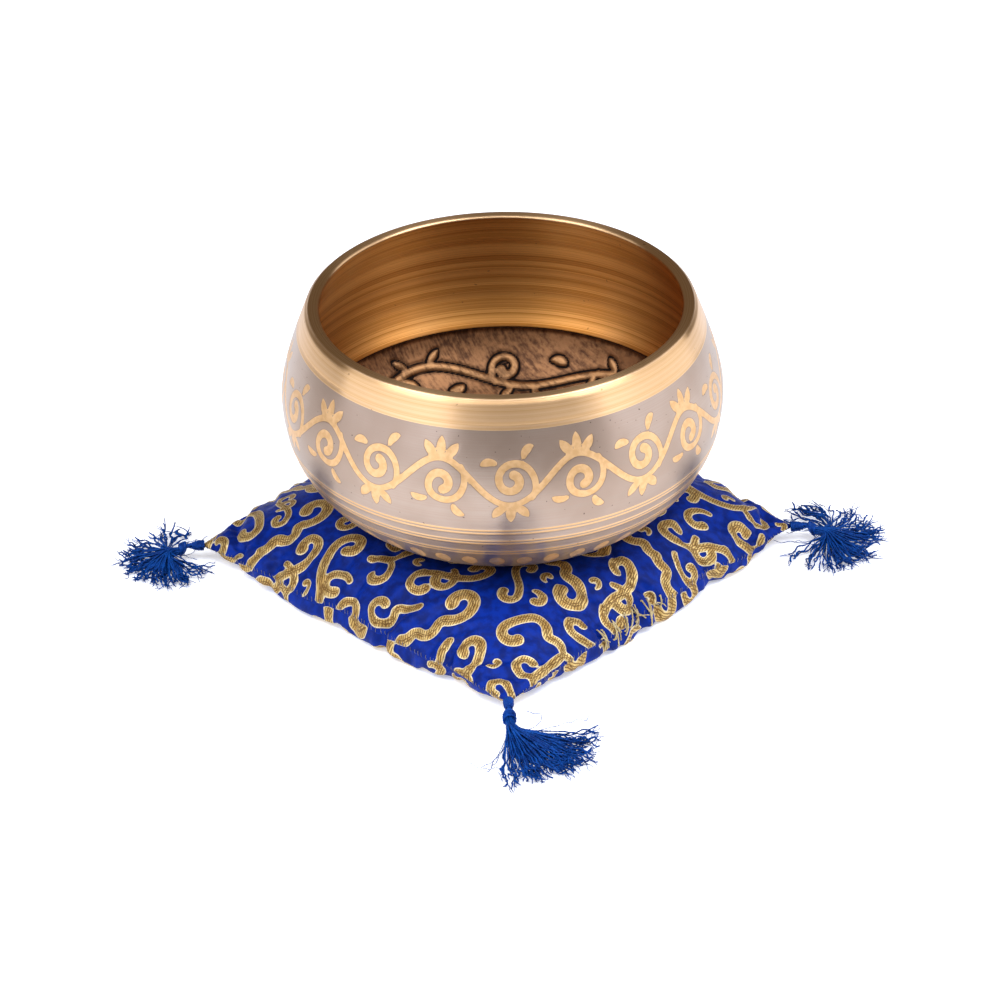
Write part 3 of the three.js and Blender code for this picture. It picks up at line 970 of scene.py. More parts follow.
def scatter_motifs(seed):
    """Motifs packed over a panel in a random order, each clear of those already there."""
    rng = np.random.default_rng(seed)
    half = int(HALF + 12)
    side = 2 * half + 1
    line = np.arange(-half, half + 1.0)
    raster = np.stack([m.ravel() for m in np.meshgrid(line, line, indexing="ij")], 1)
    field = np.full(len(raster), -60.0)
    kept = []

    def clear(spots, wide):
        cell = np.clip(np.round(spots + half), 0, side - 1).astype(int)
        return (field[cell[..., 0] * side + cell[..., 1]] + wide + PATTERN_GAP < 0).all(-1)

    for kind, scale, most in MOTIF_ROUNDS:
        strokes = motif(kind)
        spots = np.concatenate([path for path, _ in strokes])
        wide = np.concatenate([w for _, w in strokes]) * scale
        centres = rng.uniform(-HALF, HALF, (900, 2))
        placed = 0
        for at in centres:
            turns = rng.uniform(0, 2 * math.pi, TURNS)
            flips = rng.choice((-1.0, 1.0), TURNS)
            c, s = np.cos(turns), np.sin(turns)
            local = spots[None] * np.stack([flips, np.ones(TURNS)], 1)[:, None] * scale
            turned = np.stack([c[:, None] * local[..., 0] - s[:, None] * local[..., 1],
                               s[:, None] * local[..., 0] + c[:, None] * local[..., 1]], -1) + at
            good = np.nonzero(clear(turned, wide[None]))[0]
            if len(good) == 0:
                continue
            pick = turned[good[0]]
            first = 0
            for path, w in strokes:
                piece = pick[first:first + len(path)]
                first += len(path)
                reach_stamp(field, raster, piece, w * scale)
                kept.append((piece, w * scale))
            placed += 1
            if placed == most:
                break
    return kept


def reach_stamp(field, places, path, half):
    """Like stamp, but it notes distances out to 8 mm, for keeping motifs apart."""
    reach = half.max() + 8
    near = np.nonzero(((places >= path.min(0) - reach) & (places <= path.max(0) + reach)).all(1))[0]
    gaps = np.hypot(*(places[near, None, :] - path[None, :, :]).transpose(2, 0, 1))
    field[near] = np.maximum(field[near], (half[None, :] - gaps).max(1))


def brocade(seed, flat):
    """Signed distance to the gold, and offset across its strokes, at flat places on a panel."""
    field = np.full(len(flat), -6.0)
    across = np.zeros(len(flat))
    for path, half in scatter_motifs(seed):
        stamp(field, across, flat, path, half)
    return field, across


# Pulls in the cover where a stitch is tight: side (0 +X, 1 +Y, 2 -X, 3 -Y), place along it, depth, how
# far it runs in from the seam, half-width, and lean.
CREASES = (
    (3, 17, 2.4, 30, 2.0, 0.25), (3, -40, 1.3, 16, 2.4, -0.2), (3, -62, 1.6, 18, 2.6, 0.5),
    (3, 48, 1.2, 15, 2.2, -0.35), (0, -28, 1.8, 20, 2.2, 0.3), (0, -19, 1.4, 13, 1.7, -0.2),
    (0, -9, 1.7, 17, 2.0, 0.1), (0, 1, 1.5, 20, 2.2, -0.3), (0, 30, 1.5, 20, 2.5, 0.2),
    (0, 56, 1.6, 17, 2.4, -0.4), (0, -55, 1.1, 15, 2.2, 0.2), (1, -45, 1.4, 18, 2.4, 0.3),
    (1, 8, 1.8, 24, 2.3, -0.2), (1, 52, 1.3, 16, 2.2, 0.2), (2, -30, 1.6, 20, 2.3, 0.2),
    (2, 22, 1.9, 24, 2.4, -0.25), (2, 60, 1.3, 15, 2.4, 0.3),
)


def crease_panel(grid, u, v, normal, seed, share):
    """Creases, small puckers along the seam and a soft unevenness of the stuffing."""
    rng = np.random.default_rng(seed)
    move = np.zeros(u.shape)
    inward = np.zeros(grid.shape)
    sides = ((v, u, (1, 0, 0)), (u, v, (0, 1, 0)), (-v, -u, (-1, 0, 0)), (-u, -v, (0, -1, 0)))
    for side, place, depth, reach, half, lean in CREASES:
        along, outward, out = sides[side]
        along = along * HALF * (1 if side < 2 else -1)
        gap = (1 - outward) * HALF
        q = (along - place - lean * gap) / (half * (1 + gap / 14))
        fade = np.clip(1 - gap / reach, 0, 1) ** 1.4
        valley = np.exp(-q * q) - 0.4 * np.exp(-((np.abs(q) - 1.7) / 0.8) ** 2)
        move -= share * depth * valley * fade
        pull = 0.45 * depth * np.exp(-q * q) * np.exp(-gap / 5)
        inward -= pull[..., None] * np.array(out)
    for along, outward, _ in sides:
        gap = (1 - outward) * HALF
        ripple = np.zeros(u.shape)
        for _ in range(6):
            ripple += np.sin(along * HALF * 2 * math.pi / rng.uniform(3.4, 9) + rng.uniform(0, 6.3))
        move += 0.05 * ripple * np.exp(-gap / 4.5) * (1 - np.exp(-gap / 1.2)) * (outward > 0.7)
    border = np.sqrt(np.clip((1 - u * u) * (1 - v * v), 0, 1))
    for _ in range(9):
        kx, ky = rng.uniform(-7, 7, 2)
        move += 0.16 * np.sin(u * kx + v * ky + rng.uniform(0, 6.3)) * border
    corner = np.clip((2 - np.abs(u) - np.abs(v)) * HALF / 6, 0, 1)
    return grid + (normal * move[..., None] + inward) * corner[..., None]


def rounded_sides(grid, u, v, bulge, reach):
    """Swells a panel outwards beside the seam, least at the corners."""
    shape = grid.copy()
    for axis, (outward, along) in enumerate(((u, v), (v, u))):
        gap = (1 - np.abs(outward)) * HALF
        swell = bulge * np.sin(math.pi * np.clip(gap / reach, 0, 1)) * (1 - along ** 4)
        shape[..., axis] += np.sign(outward) * swell
    return shape


def panel_normal(grid, sign):
    """Unit normals over a panel's grid of points; sign 1 for the top panel, -1 for the bottom."""
    normal = np.cross(np.gradient(grid, axis=0), np.gradient(grid, axis=1)) * sign
    return normal / (np.linalg.norm(normal, axis=-1, keepdims=True) + 1e-9)


def build_cover(material):
    """The cushion's cover; returns its two panels' points for the threads."""
    top, bottom = settled_panels()
    u, v, upper, lower = cover_grid(COVER_CELLS)
    edge = (1 - np.maximum(np.abs(u), np.abs(v))) * HALF
    up_normal = panel_normal(top, 1) * np.clip(edge / 1.5, 0, 1)[..., None]
    down_normal = panel_normal(bottom, -1) * np.clip(edge / 1.5, 0, 1)[..., None]
    top, bottom = rounded_sides(top, u, v, 1.2, 14.0), rounded_sides(bottom, u, v, 3.8, 12.0)
    top = crease_panel(top, u, v, up_normal, 17, 1.0)
    bottom = crease_panel(bottom, u, v, down_normal, 18, 0.6)
    flat = np.stack([HALF * u, HALF * v], -1)
    values = {}
    for name, grid, seed, sign in (("top", top, 5, 1), ("bottom", bottom, 8, -1)):
        gold, across = brocade(seed, flat.reshape(-1, 2))
        gold, across = gold.reshape(u.shape), across.reshape(u.shape)
        normal = panel_normal(grid, sign)
        lift = GOLD_RISE * np.clip((gold + 0.15) / 0.5, 0, 1) * np.clip(edge / 1.2, 0, 1)
        grid += normal * lift[..., None]
        values[name] = (gold, across)
    for grid in (top, bottom):
        limit = under_bowl(grid[..., 0], grid[..., 1]) - 0.25
        grid[..., 2] = np.clip(np.minimum(grid[..., 2], limit), 0.1, None)
    bottom[[0, -1], :] = top[[0, -1], :]
    bottom[:, [0, -1]] = top[:, [0, -1]]
    attributes = {
        "gold": join_panels(values["top"][0], values["bottom"][0]),
        "across": join_panels(values["top"][1], values["bottom"][1]),
        "flat": join_panels(np.stack([flat[..., 0], flat[..., 1], 0 * u + 5], -1),
                            np.stack([flat[..., 0], flat[..., 1], 0 * u - 5], -1)),
    }
    points = join_panels(top, bottom)
    cover = make_object("cushion_cover", points, cover_faces(upper, lower), [material], None, attributes)
    show(cover, "cushion", "brocade", "cushion_top_panel", "cushion_bottom_panel", "cushion_filling")
    return top, bottom


SATIN = rgb(1, 40, 136)
SATIN_DEEP = rgb(1, 26, 98)
RIB_PITCH = 0.92                  # millimetres between the ribs woven into the gold


def brocade_material():
    """Royal-blue satin with raised gold scrolls: ribbed gold, dark veins and a pale outline."""
    s = Shader("blue_gold_brocade")
    gold, across, flat = s.attribute("gold"), s.attribute("across"), s.attribute("flat", "Vector")
    split = s.node("ShaderNodeSeparateXYZ")
    s.link(flat, split.inputs[0])
    fu, fv = split.outputs[0], split.outputs[1]
    wobble = s.noise(0.35, 2.0, vector=flat)
    fine = s.noise(5.0, 2.0, vector=flat)
    # Woven ribs on the gold, slanted the same way all over the cloth.
    slant = s.math("MULTIPLY_ADD", fv, 0.45, s.math("MULTIPLY_ADD", wobble, 1.2, fu))
    rib = s.math("SINE", s.math("MULTIPLY", slant, 2 * math.pi / RIB_PITCH))
    rib = s.math("MULTIPLY_ADD", fine, 1.5, s.math("ADD", rib, -0.75))
    on_gold = s.ramp(gold, -0.08, 0.08)
    outline = s.math("MULTIPLY", on_gold, s.ramp(gold, 0.24, 0.38, 1.0, 0.0))
    swing = s.math("MULTIPLY_ADD", s.noise(0.9, 1.0, vector=flat), 1.2, s.math("ADD", across, -0.9))
    near_one = s.math("ABSOLUTE", swing)
    near_two = s.math("ABSOLUTE", s.math("ADD", swing, 0.75))
    vein = s.ramp(s.math("MINIMUM", near_one, near_two), 0.08, 0.26, 1.0, 0.0)
    vein = s.math("MULTIPLY", vein, s.ramp(gold, 0.5, 0.75))
    dark = s.math("MAXIMUM", s.ramp(rib, 0.1, 0.75, 0.0, 0.8), s.math("MULTIPLY", vein, 0.85))
    dark = s.math("MULTIPLY", dark, s.math("SUBTRACT", 1.0, outline))
    warm = s.mix(s.ramp(wobble, 0.35, 0.65), rgb(182, 146, 82), rgb(210, 178, 112))
    gold_colour = s.mix(dark, warm, rgb(92, 60, 30))
    gold_colour = s.mix(outline, gold_colour, rgb(214, 198, 160))
    satin = s.mix(s.ramp(wobble, 0.3, 0.7), SATIN, SATIN_DEEP)
    s.set(Base_Color=s.mix(on_gold, satin, gold_colour))
    s.set(Roughness=s.ramp(on_gold, 0.0, 1.0, 0.48, 0.42))
    s.set(Metallic=s.math("MULTIPLY", on_gold, 0.45))
    s.bsdf.inputs["Specular IOR Level"].default_value = 0.1
    warp = s.math("SINE", s.math("MULTIPLY", s.math("SUBTRACT", fu, fv), 2 * math.pi / 0.5))
    height = s.math("MULTIPLY", s.math("SUBTRACT", 1.0, dark), on_gold)
    height = s.math("MULTIPLY_ADD", warp, 0.06, height)
    height = s.math("MULTIPLY_ADD", fine, 0.18, height)
    s.bump(height, 0.0002, 0.7)
    return s.material


# ---- Threads: seam, closing stitches, ties and tassels -----------------------


def tubes(paths, sides=6, ply=0.0):
    """Closed tubes as (points, faces), one for each (points, radii); ply gives a two-ply twist."""
    points, faces, total = [], [], 0
    turn = np.arange(sides) * (2 * math.pi / sides)
    for path, radii in paths:
        path = np.asarray(path, float)
        tangent = np.gradient(path, axis=0)
        tangent /= np.linalg.norm(tangent, axis=1, keepdims=True) + 1e-12
        upright = np.abs(tangent[:, 2]).mean() >= 0.85
        reference = np.array([0.8, 0.6, 0]) if upright else np.array([0, 0, 1.0])
        side = np.cross(tangent, reference)
        side /= np.linalg.norm(side, axis=1, keepdims=True) + 1e-12
        up = np.cross(side, tangent)
        arc = np.concatenate([[0], np.cumsum(np.linalg.norm(np.diff(path, axis=0), axis=1))])
        spin = turn[None, :] + (arc * 1.5)[:, None]
        wide = np.asarray(radii)[:, None] * (1 + ply * np.cos(2 * (turn[None, :] - (arc * 1.1)[:, None])))
        if not ply:
            spin = np.broadcast_to(turn, wide.shape)
        ring = path[:, None, :] + wide[..., None] * (
            np.cos(spin)[..., None] * side[:, None, :] + np.sin(spin)[..., None] * up[:, None, :])
        count = len(path)
        points.append(ring.reshape(-1, 3))
        base = total + np.arange(count - 1)[:, None] * sides
        k = np.arange(sides)[None, :]
        after = (k + 1) % sides
        quads = np.stack([base + k, base + sides + k, base + sides + after, base + after], -1)
        faces += quads.reshape(-1, 4).tolist()
        faces.append([total + i for i in range(sides)])
        faces.append([total + (count - 1) * sides + i for i in reversed(range(sides))])
        total += count * sides
    return np.concatenate(points), faces


def smooth_path(knots, step):
    """A Catmull-Rom line through the knots, as points about step apart."""
    knots = np.asarray(knots, float)
    padded = np.concatenate([[2 * knots[0] - knots[1]], knots, [2 * knots[-1] - knots[-2]]])
    made = []
    for a, b, c, d in zip(padded, padded[1:], padded[2:], padded[3:]):
        count = max(2, int(np.linalg.norm(c - b) / step))
        for t in np.arange(count) / count:
            made.append(0.5 * (2 * b + (c - a) * t + (2 * a - 5 * b + 4 * c - d) * t ** 2
                               + (3 * b - a - 3 * c + d) * t ** 3))
    return np.array(made + [knots[-1]])


def side_rows(panel, side, inset):
    """The row of a panel's points that runs along one side, inset by some cells from the seam."""
    last = len(panel) - 1 - inset
    rows = (panel[last], panel[:, last], panel[inset][::-1], panel[:, inset][::-1])
    return rows[side]


def build_seam(top, bottom, material):
    """Small overcast stitches that close the seam all the way round."""
    rng = np.random.default_rng(3)
    paths = []
    for side in range(4):
        seam = side_rows(top, side, 0)
        over, under = side_rows(top, side, 1), side_rows(bottom, side, 1)
        length = np.linalg.norm(np.diff(seam, axis=0), axis=1).sum()
        count = int(length / SEAM_STITCH)
        for k in range(2, count - 1):
            at = (k + rng.uniform(-0.15, 0.15)) / count * (len(seam) - 1)
            i, j = int(at), min(int(at) + 1, len(seam) - 1)
            out = 2 * seam[i] - over[i] - under[i]
            out /= np.linalg.norm(out) + 1e-9
            knots = [under[i] * 0.6 + seam[i] * 0.4, seam[i] * 0.5 + seam[j] * 0.5 + out * 0.12,
                     over[j] * 0.6 + seam[j] * 0.4]
            path = smooth_path(knots, 0.3)
            paths.append((path, np.full(len(path), 0.12)))
    points, faces = tubes(paths, 5)
    seam_piece = make_object("seam_overcast", points, faces, [material])
    return show(seam_piece, "cushion", "gold_thread", "seam_thread")


CLOSING_MIDDLE, CLOSING_HALF = -14.0, 15.0      # along the cushion's +X side
CLOSING_COUNT = 13
SEAM_STITCH = 1.9                 # from one overcast stitch to the next


def build_closing(top, bottom, material):
    """Whip stitches in doubled thread where the cushion was closed by hand, with loose ends."""
    rng = np.random.default_rng(21)
    seam = top[-1]
    paths = []

    def spot(y, inset, panel):
        j = int(np.argmin(np.abs(seam[:, 1] - y)))
        row = len(panel) - 1 - inset
        return panel[row, j]

    for k in range(CLOSING_COUNT):
        y = CLOSING_MIDDLE + CLOSING_HALF * (2 * k / (CLOSING_COUNT - 1) - 1) + rng.uniform(-0.9, 0.9)
        lean = rng.uniform(0.4, 4.2) * rng.choice((-1, 1, 1))
        for twin in (-0.2, 0.2) if k % 3 else (0.0,):
            low = spot(y + twin, int(rng.integers(1, 4)), bottom)
            high = spot(y + lean + twin, int(rng.integers(2, 5)), top)
            middle = spot(y + lean / 2 + twin, 0, top)
            stand_off = np.array([rng.uniform(0.35, 0.8), 0, 0])
            knots = [low + [-0.3, 0, 0.1], low + [0.3, 0, -0.2], middle + stand_off,
                     high + [0.3, 0, 0.35], high + [-0.2, 0, -0.35]]
            path = smooth_path(knots, 0.4)
            paths.append((path, np.full(len(path), rng.uniform(0.2, 0.32))))
    # Loose thread ends: place from the middle of the closing, and length.
    for offset, reach in ((-CLOSING_HALF, 5.0), (4, 4.0), (CLOSING_HALF, 6.0)):
        start = spot(CLOSING_MIDDLE + offset, 0, top)
        heading = rng.uniform(-0.9, 0.9)
        knots = [start, start + [0.8, 0.4, 0.8]]
        for _ in range(3):
            heading += rng.uniform(-0.5, 0.5)
            knots.append(knots[-1] + reach / 3 * np.array([0.35, math.sin(heading) + 0.5, -0.35]))
        path = smooth_path(knots, 0.5)
        paths.append((path, np.linspace(0.3, 0.16, len(path))))
    points, faces = tubes(paths, 6, 0.15)
    piece = make_object("closing_whipstitch", points, faces, [material])
    return show(piece, "cushion", "gold_thread", "closing_stitches")


NECK_START = 5.4                  # distances out from the corner of the seam
NECK_BEND = 5.0
NECK_END = 8.2
NECK_END_Z = 4.0
BUNDLE_RADIUS = 1.45
STRAND_RADIUS = (0.27, 0.35)
PILE_HEIGHT = 4.6                 # of the bundle as it lies on the floor
NECK_AROUND = 40                  # points round the neck
BINDING_TURNS = 3
RING_POINTS = 25
STRANDS = 125
STRAYS = 16
CORNERS = {"front_right": (1, -1), "back_right": (1, 1), "back_left": (-1, 1), "front_left": (-1, -1)}
# Per tassel: seed, how far the neck turns, heading of the middle strand from the neck's own, half the
# spread, all in degrees, strand length, and how much the ends keep turning.
TASSELS = {
    "front_right": (31, 4, 37, 47, 35, 8),
    "back_right": (32, -14, -14, 144, 25, 30),
    "back_left": (33, -25, -15, 70, 30, -8),
    "front_left": (34, 14, 16, 140, 22, 20),
}


def to_world(corner, local):
    """Points from a tassel's frame (out, left, up) to the object's, in millimetres."""
    sx, sy = CORNERS[corner]
    out = np.array([sx, sy, 0]) / math.sqrt(2)
    left = np.array([-sy, sx, 0]) / math.sqrt(2)
    local = np.asarray(local, float)
    base = np.array([sx * HALF, sy * HALF, 0])
    return base + local[:, :1] * out + local[:, 1:2] * left + local[:, 2:3] * [0, 0, 1]


def bent(points, turn):
    """Points of a straight tassel with its neck turned sideways by some degrees."""
    points = np.array(points, float)
    start, end = NECK_BEND, NECK_END
    rate = math.radians(turn) / (end - start)
    along = np.clip(points[:, 0] - start, 0, end - start)
    angle = rate * along
    sure = rate if abs(rate) > 1e-6 else 1e-6
    x = start + np.sin(along * sure) / sure
    y = (1 - np.cos(along * sure)) / sure
    beyond = np.clip(points[:, 0] - end, 0, None) + np.clip(points[:, 0] - start, None, 0)
    beyond_angle = np.where(points[:, 0] > end, angle, 0)
    side = points[:, 1]
    return np.stack([x + beyond * np.cos(beyond_angle) - side * np.sin(angle),
                     y + beyond * np.sin(beyond_angle) + side * np.cos(angle), points[:, 2]], 1)


def laid(corner, points, turn):
    """Points of a straight tassel as it lies at its corner, none of them below the floor."""
    points = to_world(corner, bent(points, turn))
    points[:, 2] = np.maximum(points[:, 2], 0.03)
    return points


def neck_axis(x):
    """Height of the neck's middle, which slopes down towards the fringe."""
    slope = (SEAM_CORNER_Z - NECK_END_Z) / (NECK_END - NECK_START)
    return SEAM_CORNER_Z - slope * np.clip(x - NECK_START, 0, None)


def strand(rng, ring, spot_angle, heading, length, layer, curl, thick, kink):
    """One yarn from inside the neck to its end, in the tassel's frame."""
    count = int(length / 0.95)
    s = np.linspace(0, length, count)
    ease = np.clip(s / (0.3 * length), 0, 1)
    ease = ease * ease * (3 - 2 * ease)
    angle = np.radians(heading * ease + curl * (s / length) ** 2 * rng.uniform(0.2, 1.8))
    wave = rng.uniform(4.2, 6.5), rng.uniform(8, 13)
    grow = np.clip((s / length - 0.42) / 0.58, 0, 1) ** 1.2 * kink
    phase = rng.uniform(0, 6.3, 4)
    angle = angle + grow * (0.62 * np.sin(s * 2 * math.pi / wave[0] + phase[0])
                            + 0.5 * np.sin(s * 2 * math.pi / wave[1] + phase[1]))
    step = length / (count - 1)
    x = NECK_END + np.concatenate([[0], np.cumsum(np.cos(angle[:-1]) * step)])
    y = ring * math.cos(spot_angle) + np.concatenate([[0], np.cumsum(np.sin(angle[:-1]) * step)])
    start_z = NECK_END_Z + ring * math.sin(spot_angle)
    settle = np.clip(s / 9, 0, 1)
    settle = settle * settle * (3 - 2 * settle)
    share = s / length
    floor = thick + 0.05
    pile = floor + layer * (1.05 - share) * (1 + 0.4 * np.sin(share * math.pi))
    bob = grow * 0.8 * (np.sin(s * 2 * math.pi / rng.uniform(4, 7) + phase[2]) + 1)
    tip = rng.choice([0, 0, 0, 2.5]) * np.clip((share - 0.7) / 0.3, 0, 1) ** 1.5
    z = start_z * (1 - settle) + (pile + bob + tip) * settle
    inside_x = np.linspace(NECK_START + 1.4, NECK_END, 5)[:-1]
    inside = np.stack([inside_x, np.full(4, ring * math.cos(spot_angle) * 0.9),
                       neck_axis(inside_x) + ring * math.sin(spot_angle) * 0.9], 1)
    path = np.concatenate([inside, np.stack([x, y, z], 1)])
    path[:, 2] = np.maximum(path[:, 2], floor)
    radii = np.full(len(path), thick)
    radii[:4] = thick * 0.55
    radii[4:9] = thick * np.linspace(0.6, 1, 5)
    radii[-1] *= 0.6
    return path, radii


def frayed_end(rng, path):
    """The two finer plies that the end of a yarn comes apart into."""
    end, before = path[-3], path[-5]
    run = (end - before) / (np.linalg.norm(end - before) + 1e-9)
    plies = []
    for _ in range(2):
        knots = [before, end]
        for _ in range(3):
            run = run + rng.normal(0, 0.36, 3) * [1, 1, 0.5]
            run /= np.linalg.norm(run)
            knots.append(knots[-1] + run * rng.uniform(1.0, 2.0))
        ply = smooth_path(knots, 0.8)
        ply[:, 2] = np.maximum(ply[:, 2], 0.2)
        plies.append((ply, np.linspace(0.17, 0.11, len(ply))))
    return plies


def build_tassel(corner, yarn, satin):
    """The bundle of yarns at one corner, and its neck and tie."""
    seed, turn, sweep, spread, length, curl = TASSELS[corner]
    rng = np.random.default_rng(seed)
    paths = []
    for k in range(STRANDS):
        ring = BUNDLE_RADIUS * math.sqrt(rng.uniform(0.02, 1))
        spot_angle = rng.uniform(0, 2 * math.pi)
        across = ring * math.cos(spot_angle) / BUNDLE_RADIUS
        heading = sweep + spread * np.clip(0.8 * across + rng.normal(0, 0.3), -1.05, 1.05)
        layer = PILE_HEIGHT * np.clip(0.5 + 0.42 * math.sin(spot_angle) + rng.normal(0, 0.16), 0, 1.1)
        long = length * rng.uniform(0.82, 1.06)
        thick = rng.uniform(*STRAND_RADIUS)
        path, radii = strand(rng, ring, spot_angle, heading, long, layer, curl, thick, 1.0)
        paths.append((path, radii))
        if k % 2 == 0:
            paths += frayed_end(rng, path)
    for _ in range(STRAYS):
        ring, spot_angle = 1.3, rng.uniform(0, 2 * math.pi)
        heading = sweep + spread * rng.uniform(-1.9, 1.9)
        long = length * rng.uniform(0.5, 1.15)
        path, radii = strand(rng, ring, spot_angle, heading, long, rng.uniform(0, 5), rng.uniform(-160, 160),
                             0.13, 0.8)
        paths.append((path, radii))
    points, faces = tubes(paths, 6, 0.16)
    fringe = make_object(f"tassel_fringe_{corner}", laid(corner, points, turn), faces, [yarn])
    show(fringe, f"tassel_{corner}", "blue_yarn", f"tassel_strands_{corner}")
    build_neck(corner, turn, satin)
    build_tie(corner, satin)


def ring_path(middle_x, half_long, half_wide, upright, tilt):
    """A closed loop of thread as an open line that meets itself, in the tassel's frame."""
    t = np.linspace(0, 2 * math.pi, RING_POINTS)
    x = middle_x + half_long * np.cos(t)
    wide = half_wide * np.sin(t)
    if upright:
        return np.stack([x, wide * math.sin(tilt), SEAM_CORNER_Z + wide * math.cos(tilt)], 1)
    return np.stack([x, wide * math.cos(tilt), SEAM_CORNER_Z + wide * math.sin(tilt)], 1)


# Share of the way along the neck, and radius: out over the wrapping, then back inside it.
NECK_PROFILE = (
    (0, 0.8), (0.03, 1.2), (0.12, 1.7), (0.28, 2.05), (0.5, 2.2), (0.68, 2.2), (0.8, 2.15), (0.9, 2.3),
    (1.0, 2.45), (1.03, 2.3), (1.0, 1.7), (0.5, 1.5), (0.25, 1.2), (0, 0.7),
)


def neck_shell(start, end):
    """Points and faces of the satin wrapping, a closed tube with folds that turn a little."""
    rows = [(start + share * (end - start), radius, 0) for share, radius in NECK_PROFILE]
    angle = np.arange(NECK_AROUND) * 2 * math.pi / NECK_AROUND
    folds = 1 + 0.045 * np.cos(11 * angle + 0.4) + 0.03 * np.cos(17 * angle)
    rings = []
    for x, radius, _ in smooth_path(rows, 0.35):
        turned = angle + 0.09 * (x - start)
        rings.append(np.stack([np.full(NECK_AROUND, x), radius * folds * np.cos(turned),
                               neck_axis(x) + radius * folds * np.sin(turned)], 1))
    k = np.arange(NECK_AROUND)[None, :]
    beside = (k + 1) % NECK_AROUND
    ring = np.arange(len(rings))[:, None]
    here, next_ring = ring * NECK_AROUND, (ring + 1) % len(rings) * NECK_AROUND
    quads = np.stack([here + k, here + beside, next_ring + beside, next_ring + k], -1)
    return np.concatenate(rings), quads.reshape(-1, 4).tolist()


def build_neck(corner, turn, satin):
    """The satin-wrapped neck, with the turns that bind it and the eye that it hangs by."""
    start, end = NECK_START - 0.2, NECK_END - 0.2
    points, faces = neck_shell(start, end)
    t = np.linspace(0, BINDING_TURNS * 2 * math.pi, 60)
    x = end - 1.5 + t / (2 * math.pi) * 0.42
    wrap = np.stack([x, 2.28 * np.cos(t), neck_axis(x) + 2.28 * np.sin(t)], 1)
    threads = [(wrap, np.full(len(t), 0.22))]
    threads += [(ring_path(5.5, 1.3, 0.85, False, tilt), np.full(RING_POINTS, 0.3)) for tilt in (-0.35, 0.3)]
    more, more_faces = tubes(threads, 6, 0.12)
    faces += [[v + len(points) for v in face] for face in more_faces]
    points = laid(corner, np.concatenate([points, more]), turn)
    neck = make_object(f"tassel_neck_{corner}", points, faces, [satin])
    show(neck, f"tassel_{corner}", "blue_yarn", f"tassel_binding_{corner}")


def build_tie(corner, satin):
    """The tie: four loops through the neck's eye, and turns side by side out of the seam's corner."""
    tilts = (-0.5, -0.1, 0.3, 0.7)
    threads = [(ring_path(2.2, 3.35, 0.8, True, tilt), np.full(RING_POINTS, 0.34)) for tilt in tilts]
    share = np.linspace(0, 1, 150)
    reach = 1.65 - 0.75 * share ** 3
    wound = share * 50
    wind = np.stack([-1.2 + 4.6 * share, reach * np.cos(wound), SEAM_CORNER_Z + reach * np.sin(wound)], 1)
    threads.append((wind, np.full(len(wind), 0.36)))
    points, faces = tubes(threads, 6, 0.12)
    tie = make_object(f"tassel_loop_{corner}", to_world(corner, points), faces, [satin])
    show(tie, "cushion", "blue_yarn", f"tassel_tie_{corner}")


def yarn_material(name, bright, deep, painted_shading):
    """Lustrous dyed yarn: lighter where plies stand up and darker between them, painted highlight and painted
    shade that follow the fibre bump.
    """
    s = Shader(name)
    patches = s.noise(260.0, 3.0)
    fibres = s.noise(3200.0, 2.0)
    tone = s.math("MULTIPLY_ADD", fibres, 0.6, s.math("MULTIPLY", patches, 0.5))
    # Painted shade in the fibre bump's low places and a lighter tone on its high ones, varied by slow random
    # patches.
    colour = s.mix(s.ramp(tone, 0.35, 0.75), deep, bright)
    # The third colour goes on the fibre bump's peaks: a painted highlight on the blue and grey yarns, a
    # darker fleck on the gold thread.
    s.set(Base_Color=s.mix(s.ramp(fibres, 0.62, 0.75, 0.0, 0.5), colour, painted_shading))
    s.set(Roughness=s.ramp(fibres, 0.3, 0.7, 0.38, 0.55))
    s.bsdf.inputs["Specular IOR Level"].default_value = 0.12
    s.bump(fibres, 0.00008, 0.6)
    return s.material


# ---- Stage: floor, lights, camera --------------------------------------------

CAMERA_AZIMUTH = 43.6
CAMERA_PITCH = 31.6
CAMERA_ROLL = -1.1
CAMERA_DISTANCE = 1600.0
CAMERA_LENS = 156.5
CAMERA_TARGET_DROP = 83.4        # below the rim, on the bowl's axis
CAMERA_TARGET_LEFT = 1.7
ROOM_TINT = (1.0, 0.82, 0.64, 1)
SOFTBOX_TINT = (0.92, 0.99, 1.14)
FLOOR_HALF = 6000.0
# Azimuth from the camera's, elevation, distance, width, height and power.
SOFTBOXES = {
    "softbox_left": (-60, 26, 1.5, 2.0, 1.4, 12),
    "softbox_right": (88, 26, 1.5, 2.1, 1.4, 13),
    "softbox_high_left": (-62, 56, 1.6, 0.9, 0.8, 11),
    "softbox_high_right": (68, 56, 1.6, 0.9, 0.8, 13),
    "softbox_top": (6, 60, 1.6, 1.2, 0.6, 9),
}


def add_camera():
    """The photograph's camera, from the fit of its mouth ellipse."""
    data = bpy.data.cameras.new("camera")
    data.lens = CAMERA_LENS
    data.sensor_width = 36.0
    data.clip_end = 50.0
    camera = bpy.data.objects.new("camera", data)
    bpy.context.scene.collection.objects.link(camera)
    azimuth, pitch = math.radians(CAMERA_AZIMUTH), math.radians(CAMERA_PITCH)
    right = Vector((math.cos(azimuth), math.sin(azimuth), 0))
    away = Vector((-math.sin(azimuth), math.cos(azimuth), 0))
    target = Vector((BOWL_X, BOWL_Y, RIM_Z - CAMERA_TARGET_DROP)) - CAMERA_TARGET_LEFT * right
    place = target - away * CAMERA_DISTANCE * math.cos(pitch)
    place.z += CAMERA_DISTANCE * math.sin(pitch)
    turn = Euler((math.pi / 2 - pitch, 0, azimuth)).to_matrix()
    roll = Matrix.Rotation(math.radians(CAMERA_ROLL), 3, "Z")
    camera.matrix_world = Matrix.Translation(place * MM) @ (turn @ roll).to_4x4()
    bpy.context.scene.camera = camera


